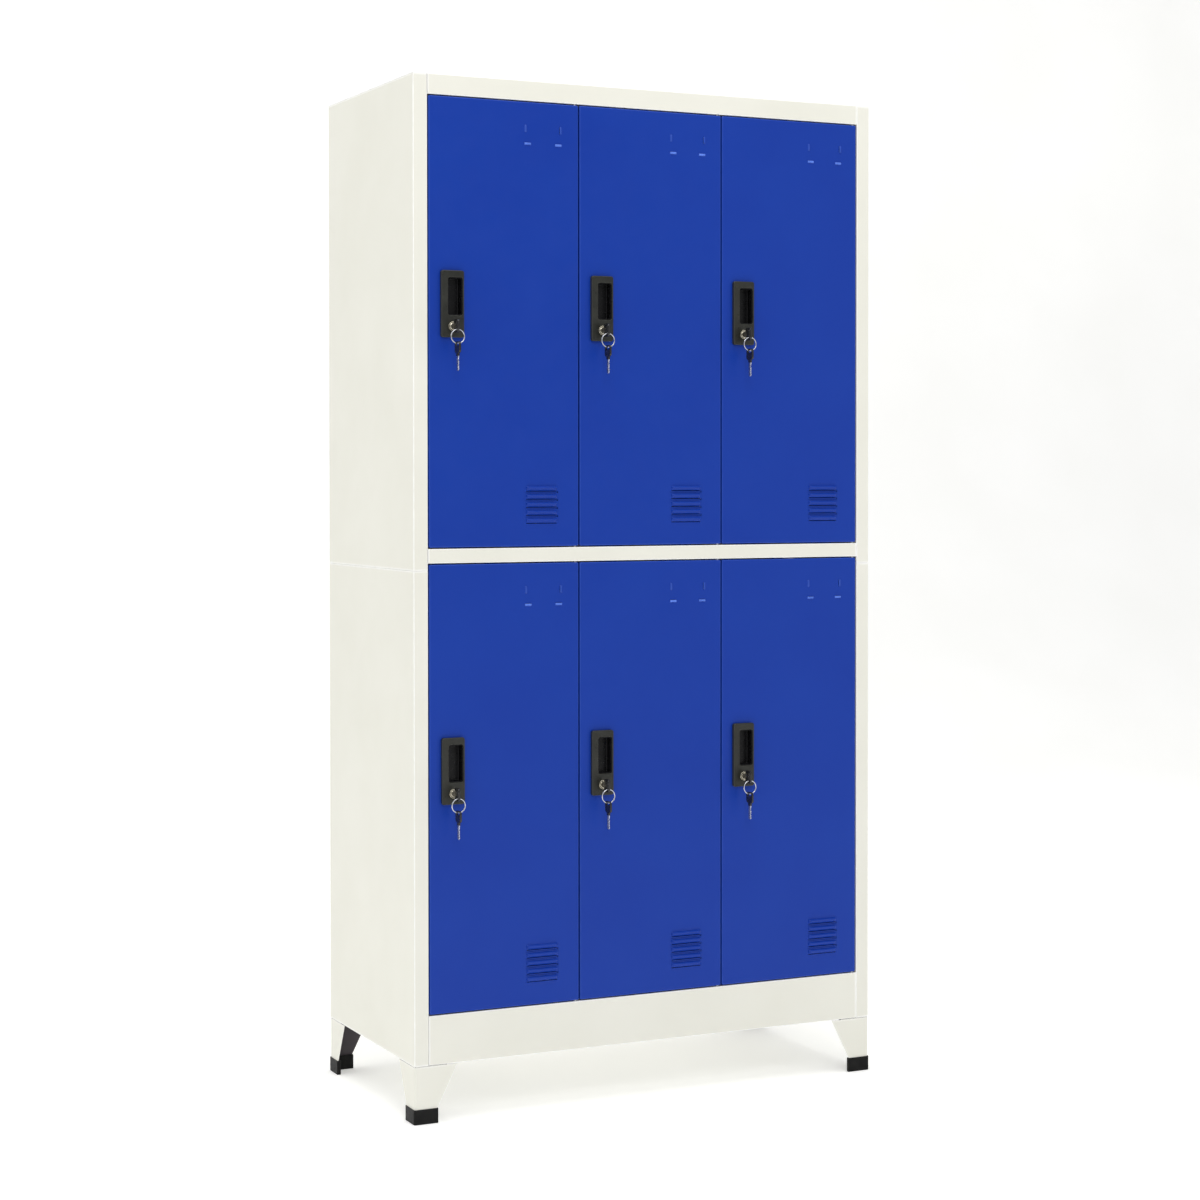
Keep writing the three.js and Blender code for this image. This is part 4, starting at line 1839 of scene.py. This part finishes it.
    def ring_blank(self, radius: float) -> bpy.types.Mesh:
        """A split ring of two turns about Y, its centre at the origin.

        Args:
            radius: To the middle of the wire.

        Returns:
            The ring's mesh.
        """
        wire, flat, turns, rise = 0.85, 0.6, 2.12, 1.1
        coiled = self.coil.run(Turns=turns, Radius=radius, Rise=rise, Wire=wire, Flatness=flat)
        shell = Shell()
        centred = Matrix.Rotation(math.pi / 2, 4, "X") @ Matrix.Translation((0.0, 0.0, -rise / 2))
        shell.add(coiled, centred)
        return shell.blank("split_ring")


@dataclass(frozen=True)
class Key:
    """A flat key lying along Y: a plastic head over a nickel-silver blade, the head's outer end at y = 0."""

    head: float = 20.0
    head_width: float = 23.0
    thick: float = 3.6
    head_corner: float = 6.0
    slot: Point = (4.4, 15.0)
    slot_from_end: float = 4.5
    neck: float = 5.0
    neck_width: float = 9.0
    blade: float = 25.0
    blade_width: float = 7.6
    blade_thick: float = 2.0
    cuts: tuple[float, ...] = (1.3, 2.1, 0.8, 1.7, 1.1)
    first_cut: float = 3.0
    uncut: float = 6.0  # the plain length of the blade, root and tip together
    point: float = 2.5  # the length of its tapered tip
    point_half: float = 0.6
    groove_depth: float = 0.5

    def head_blank(self) -> bpy.types.Mesh:
        """The moulded head with its slot for the ring.

        Returns:
            The head's mesh.
        """
        half, throat, end = self.head_width / 2, self.neck_width / 2, self.head + self.neck
        corners = [
            (0.0, -half),
            (self.head, -half),
            (self.head, -throat),
            (end, -throat),
            (end, throat),
            (self.head, throat),
            (self.head, half),
            (0.0, half),
        ]
        shoulder = self.head_corner - 1.0
        radii = [self.head_corner, shoulder, 1.2, 1.0, 1.0, 1.2, shoulder, self.head_corner]
        u, v = self.slot[0] / 2, self.slot[1] / 2
        slot = rounded_box(self.slot_from_end - u, self.slot_from_end + u, -v, v, u - 0.05, 5)
        shell = Shell()
        shell.slab(soften(corners, radii, True, 6), Axis.X, (-self.thick / 2, self.thick / 2), 0.7, [slot])
        return shell.blank("key_head")

    def blade_blank(self) -> bpy.types.Mesh:
        """The milled blade: cuts along one edge, a groove down each flat and a pointed tip.

        Returns:
            The blade's mesh.
        """
        start = self.head + self.neck - 1.0
        tip, half = self.head + self.neck + self.blade, self.blade_width / 2
        step = (self.blade - self.uncut) / len(self.cuts)
        lower: Outline = [(start, -half)]
        for i, depth in enumerate(self.cuts):
            place = start + self.first_cut + i * step
            lower += [
                (place, -half),
                (place + 0.3 * step, -half + depth),
                (place + 0.6 * step, -half + depth),
                (place + 0.85 * step, -half),
            ]
        upper: Outline = [
            (tip - self.point, -half),
            (tip, -self.point_half),
            (tip, self.point_half),
            (tip - self.point, half),
            (start, half),
        ]
        shell = Shell()
        shell.slab(lower + upper, Axis.X, (-self.blade_thick / 2, self.blade_thick / 2), 0.2)
        tool = Shell()
        for way in (-1.0, 1.0):
            floor = self.blade_thick / 2 - self.groove_depth
            levels = (way * floor, way * (self.blade_thick / 2 + 1.0))
            groove = rounded_box(start - 2.0, tip + 2.0, 0.3, 1.7, 0.3, 2)
            for ring in tool.stack([(groove, level) for level in sorted(levels)], Axis.X):
                tool.cap(ring)
        shell.cut(tool)
        return shell.blank("key_blade")


@dataclass
class DoorUnits:
    """The six doors, each with its lock, keys and ring, copied from one set of blanks."""

    finishes: Finishes
    rows: ShapeTree
    coil: ShapeTree
    pin_reach: float = 9.0
    depth: float = 17.0
    ring_wire: float = 0.9  # from the ring's rim to the middle of its wire

    def build(self) -> None:
        """Makes the blanks once, then every door's pieces from them."""
        first = "lower_left"
        origin = self.origin(first)
        box = Extent.of(f"{first}_door")
        door = Door(self.rows, box.x1 - box.x0, box.z1 - box.z0 - 2 * self.pin_reach)
        plate, plug, ring = (
            Extent.of(f"{first}_{part}") for part in ("lock_housing", "lock_plug", "key_ring")
        )
        centre = (plug.centre.x - origin.x, self.lock_height(first) - origin.z)
        lock, key = Lock(self.coil, plate.seen_from(origin), centre), Key()
        ring_radius = (ring.x1 - ring.x0) / 2 - self.ring_wire
        blanks = {
            "door_panel": door.panel_blank(),
            "hinge_pins": door.pin_blank(),
            "lock_plate": lock.plate_blank(),
            "grip": lock.grip_blank(),
            "plug": lock.plug_blank(),
            "cam": lock.cam_blank(),
            "ring": lock.ring_blank(ring_radius),
            "key_head": key.head_blank(),
            "key_blade": key.blade_blank(),
        }
        for tier in ("lower", "upper"):
            for column in ("left", "middle", "right"):
                self.unit(f"{tier}_{column}", blanks)

    def origin(self, unit: str) -> Vector:
        """A door's lower left front corner."""
        box = Extent.of(f"{unit}_door")
        return Vector((box.x0, box.y1 - self.depth, box.z0 + self.pin_reach))

    def lock_height(self, unit: str) -> float:
        """The height of a lock's axis, at the middle of its inserted key."""
        return Extent.of(f"{unit}_key").centre.z

    def unit(self, unit: str, blanks: dict[str, bpy.types.Mesh]) -> None:
        """Makes one door with all that it carries.

        Args:
            unit: The door's tier and column.
            blanks: The shapes to copy.
        """
        kit, origin = self.finishes, self.origin(unit)
        at_door = Matrix.Translation(origin)
        key, ring, spare = (Extent.of(f"{unit}_{part}") for part in ("key", "key_ring", "spare_key"))
        at_lock = Matrix.Translation((key.centre.x, origin.y, key.centre.z))
        at_key = Matrix.Translation((key.centre.x, key.y0, key.centre.z))
        hanging = Matrix.Rotation(-math.pi / 2, 4, "X")
        at_spare = Matrix.Translation((spare.centre.x, spare.centre.y, spare.z1)) @ hanging
        at_ring = Matrix.Translation(ring.centre)
        moulded = Slot.LOCK_PLASTIC
        plan = [
            ("door_panel", "door_panel", kit.blue, at_door, "door", Slot.DOOR, "door"),
            ("hinge_pins", "hinge_pins", kit.zinc, at_door, "door", Slot.RING, None),
            ("lock_plate", "lock_plate", kit.lock_plastic, at_door, "door", moulded, "lock_housing"),
            ("grip", "grip", kit.grip_plastic, at_door, "door", moulded, None),
            ("plug", "plug", kit.nickel, at_lock, "lock", Slot.CHROME, "lock_plug"),
            ("cam", "cam", kit.zinc, at_lock, "lock", Slot.CHROME, None),
            ("key_head", "key_head", kit.bow_plastic, at_key, "key", Slot.KEY_PLASTIC, "key"),
            ("key_blade", "key_blade", kit.blade_steel, at_key, "key", Slot.RING, None),
            ("split_ring", "ring", kit.spring_steel, at_ring, "key_ring", Slot.RING, "key_ring"),
            ("spare_head", "key_head", kit.bow_plastic, at_spare, "spare_key", Slot.KEY_PLASTIC, "spare_key"),
            ("spare_blade", "key_blade", kit.blade_steel, at_spare, "spare_key", Slot.RING, None),
        ]
        for name, blank, finish, move, body, slot, node in plan:
            made = piece(f"{unit}_{name}", blanks[blank], finish, move)
            nodes = [f"{unit}_{node}"] if node else []
            settle(made, f"{unit}_{body}", slot, *nodes)


# ---------------------------------------------------------------- studio


@dataclass(frozen=True)
class SoftLight:
    """A square area light that points at a spot."""

    name: str
    place: tuple[float, float, float]
    target: tuple[float, float, float]
    size: float
    watts: float
    colour: str = "#FFFFFF"

    def build(self) -> None:
        """Adds the light."""
        data = bpy.data.lights.new(self.name, "AREA")
        data.shape = "SQUARE"
        data.size = self.size
        data.energy = self.watts
        data.color = linear(self.colour)[:3]
        light = bpy.data.objects.new(self.name, data)
        bpy.context.scene.collection.objects.link(light)
        light.location = self.place
        light.rotation_euler = (Vector(self.target) - Vector(self.place)).to_track_quat("-Z", "Y").to_euler()


@dataclass(frozen=True)
class Viewpoint:
    """Where the camera stands, which way it looks in degrees, and its lens."""

    place: tuple[float, float, float] = (-1.9505, -4.2589, 1.1157)
    tilt: float = 89.047  # from straight down, so that 90 is level
    turn: float = -26.876
    lens: float = 75.54
    shift: Point = (-0.0861, -0.07)
    farthest: float = 60.0

    def build(self) -> None:
        """Adds the camera, in front and to the left, a little above the middle."""
        data = bpy.data.cameras.new("camera")
        data.lens = self.lens
        data.shift_x, data.shift_y = self.shift
        data.clip_end = self.farthest
        made = bpy.data.objects.new("camera", data)
        bpy.context.scene.collection.objects.link(made)
        made.location = self.place
        made.rotation_euler = (math.radians(self.tilt), 0.0, math.radians(self.turn))
        bpy.context.scene.camera = made


@dataclass
class Studio:
    """A pale seamless ground, soft lights and the camera."""

    world: float = 0.41
    ground: float = 30.0
    wall: float = 5.0
    wall_height: float = 8.0
    sweep: float = 2.5

    def build(self) -> None:
        """Makes the whole studio."""
        self.backdrop()
        self.sky()
        middle = (0.0, 0.0, 0.9)
        SoftLight("key_softbox", (-1.4, -4.8, 4.4), (0.0, 0.0, 1.2), 2.2, 78.0).build()
        SoftLight("side_softbox", (-4.8, -0.2, 3.7), middle, 2.6, 37.0).build()
        SoftLight("fill_softbox", (3.6, -3.4, 2.0), middle, 3.0, 12.0).build()
        SoftLight("top_softbox", (0.0, -1.0, 4.8), middle, 3.2, 76.0).build()
        Viewpoint().build()

    def backdrop(self) -> None:
        """Floor and wall in one sweep of paper."""
        shell = Shell()
        foot = self.wall - self.sweep
        line = [(-self.ground, 0.0), (foot, 0.0)]
        line += arc((foot, self.sweep), self.sweep, -90.0, 0.0, 16)[1:]
        line.append((self.wall, self.wall_height))
        rows = []
        for x in (-self.ground, self.ground):
            rows.append([shell.bm.verts.new((x / MM, y / MM, z / MM)) for y, z in line])
        shell.bridge(rows[0], rows[1], closed=False)
        for face in shell.bm.faces:
            face.smooth = True
        mesh = shell.mesh("backdrop")
        mesh.transform(Matrix.Scale(MM, 4))
        mesh.flip_normals()
        mesh.materials.append(StudioPaper("matt_studio_paper", "#F8F8F7").build())
        made = bpy.data.objects.new("backdrop", mesh)
        bpy.context.scene.collection.objects.link(made)

    def sky(self) -> None:
        """Even pale light from all round."""
        world = bpy.data.worlds.new("soft_sky")
        bpy.context.scene.world = world
        world.use_nodes = True
        ground = world.node_tree.nodes["Background"]
        ground.inputs["Color"].default_value = linear("#FFFFFF")
        ground.inputs["Strength"].default_value = self.world


def corners(box: tuple[Vector, Vector]) -> list[list[float]]:
    """A box as plain lists of numbers."""
    return [list(corner) for corner in box]


def main() -> None:
    """Builds the locker around its frame."""
    logging.basicConfig(level=logging.INFO, format="%(name)s %(message)s")
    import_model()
    bpy.context.scene.view_settings.view_transform = "Standard"
    Studio().build()
    finishes, rows, coil = Finishes.make(), row_tree(), coil_tree()
    Carcass(finishes, rows).build()
    Leg(finishes, rows).build()
    DoorUnits(finishes, rows, coil).build()


if __name__ == "__main__":
    main()
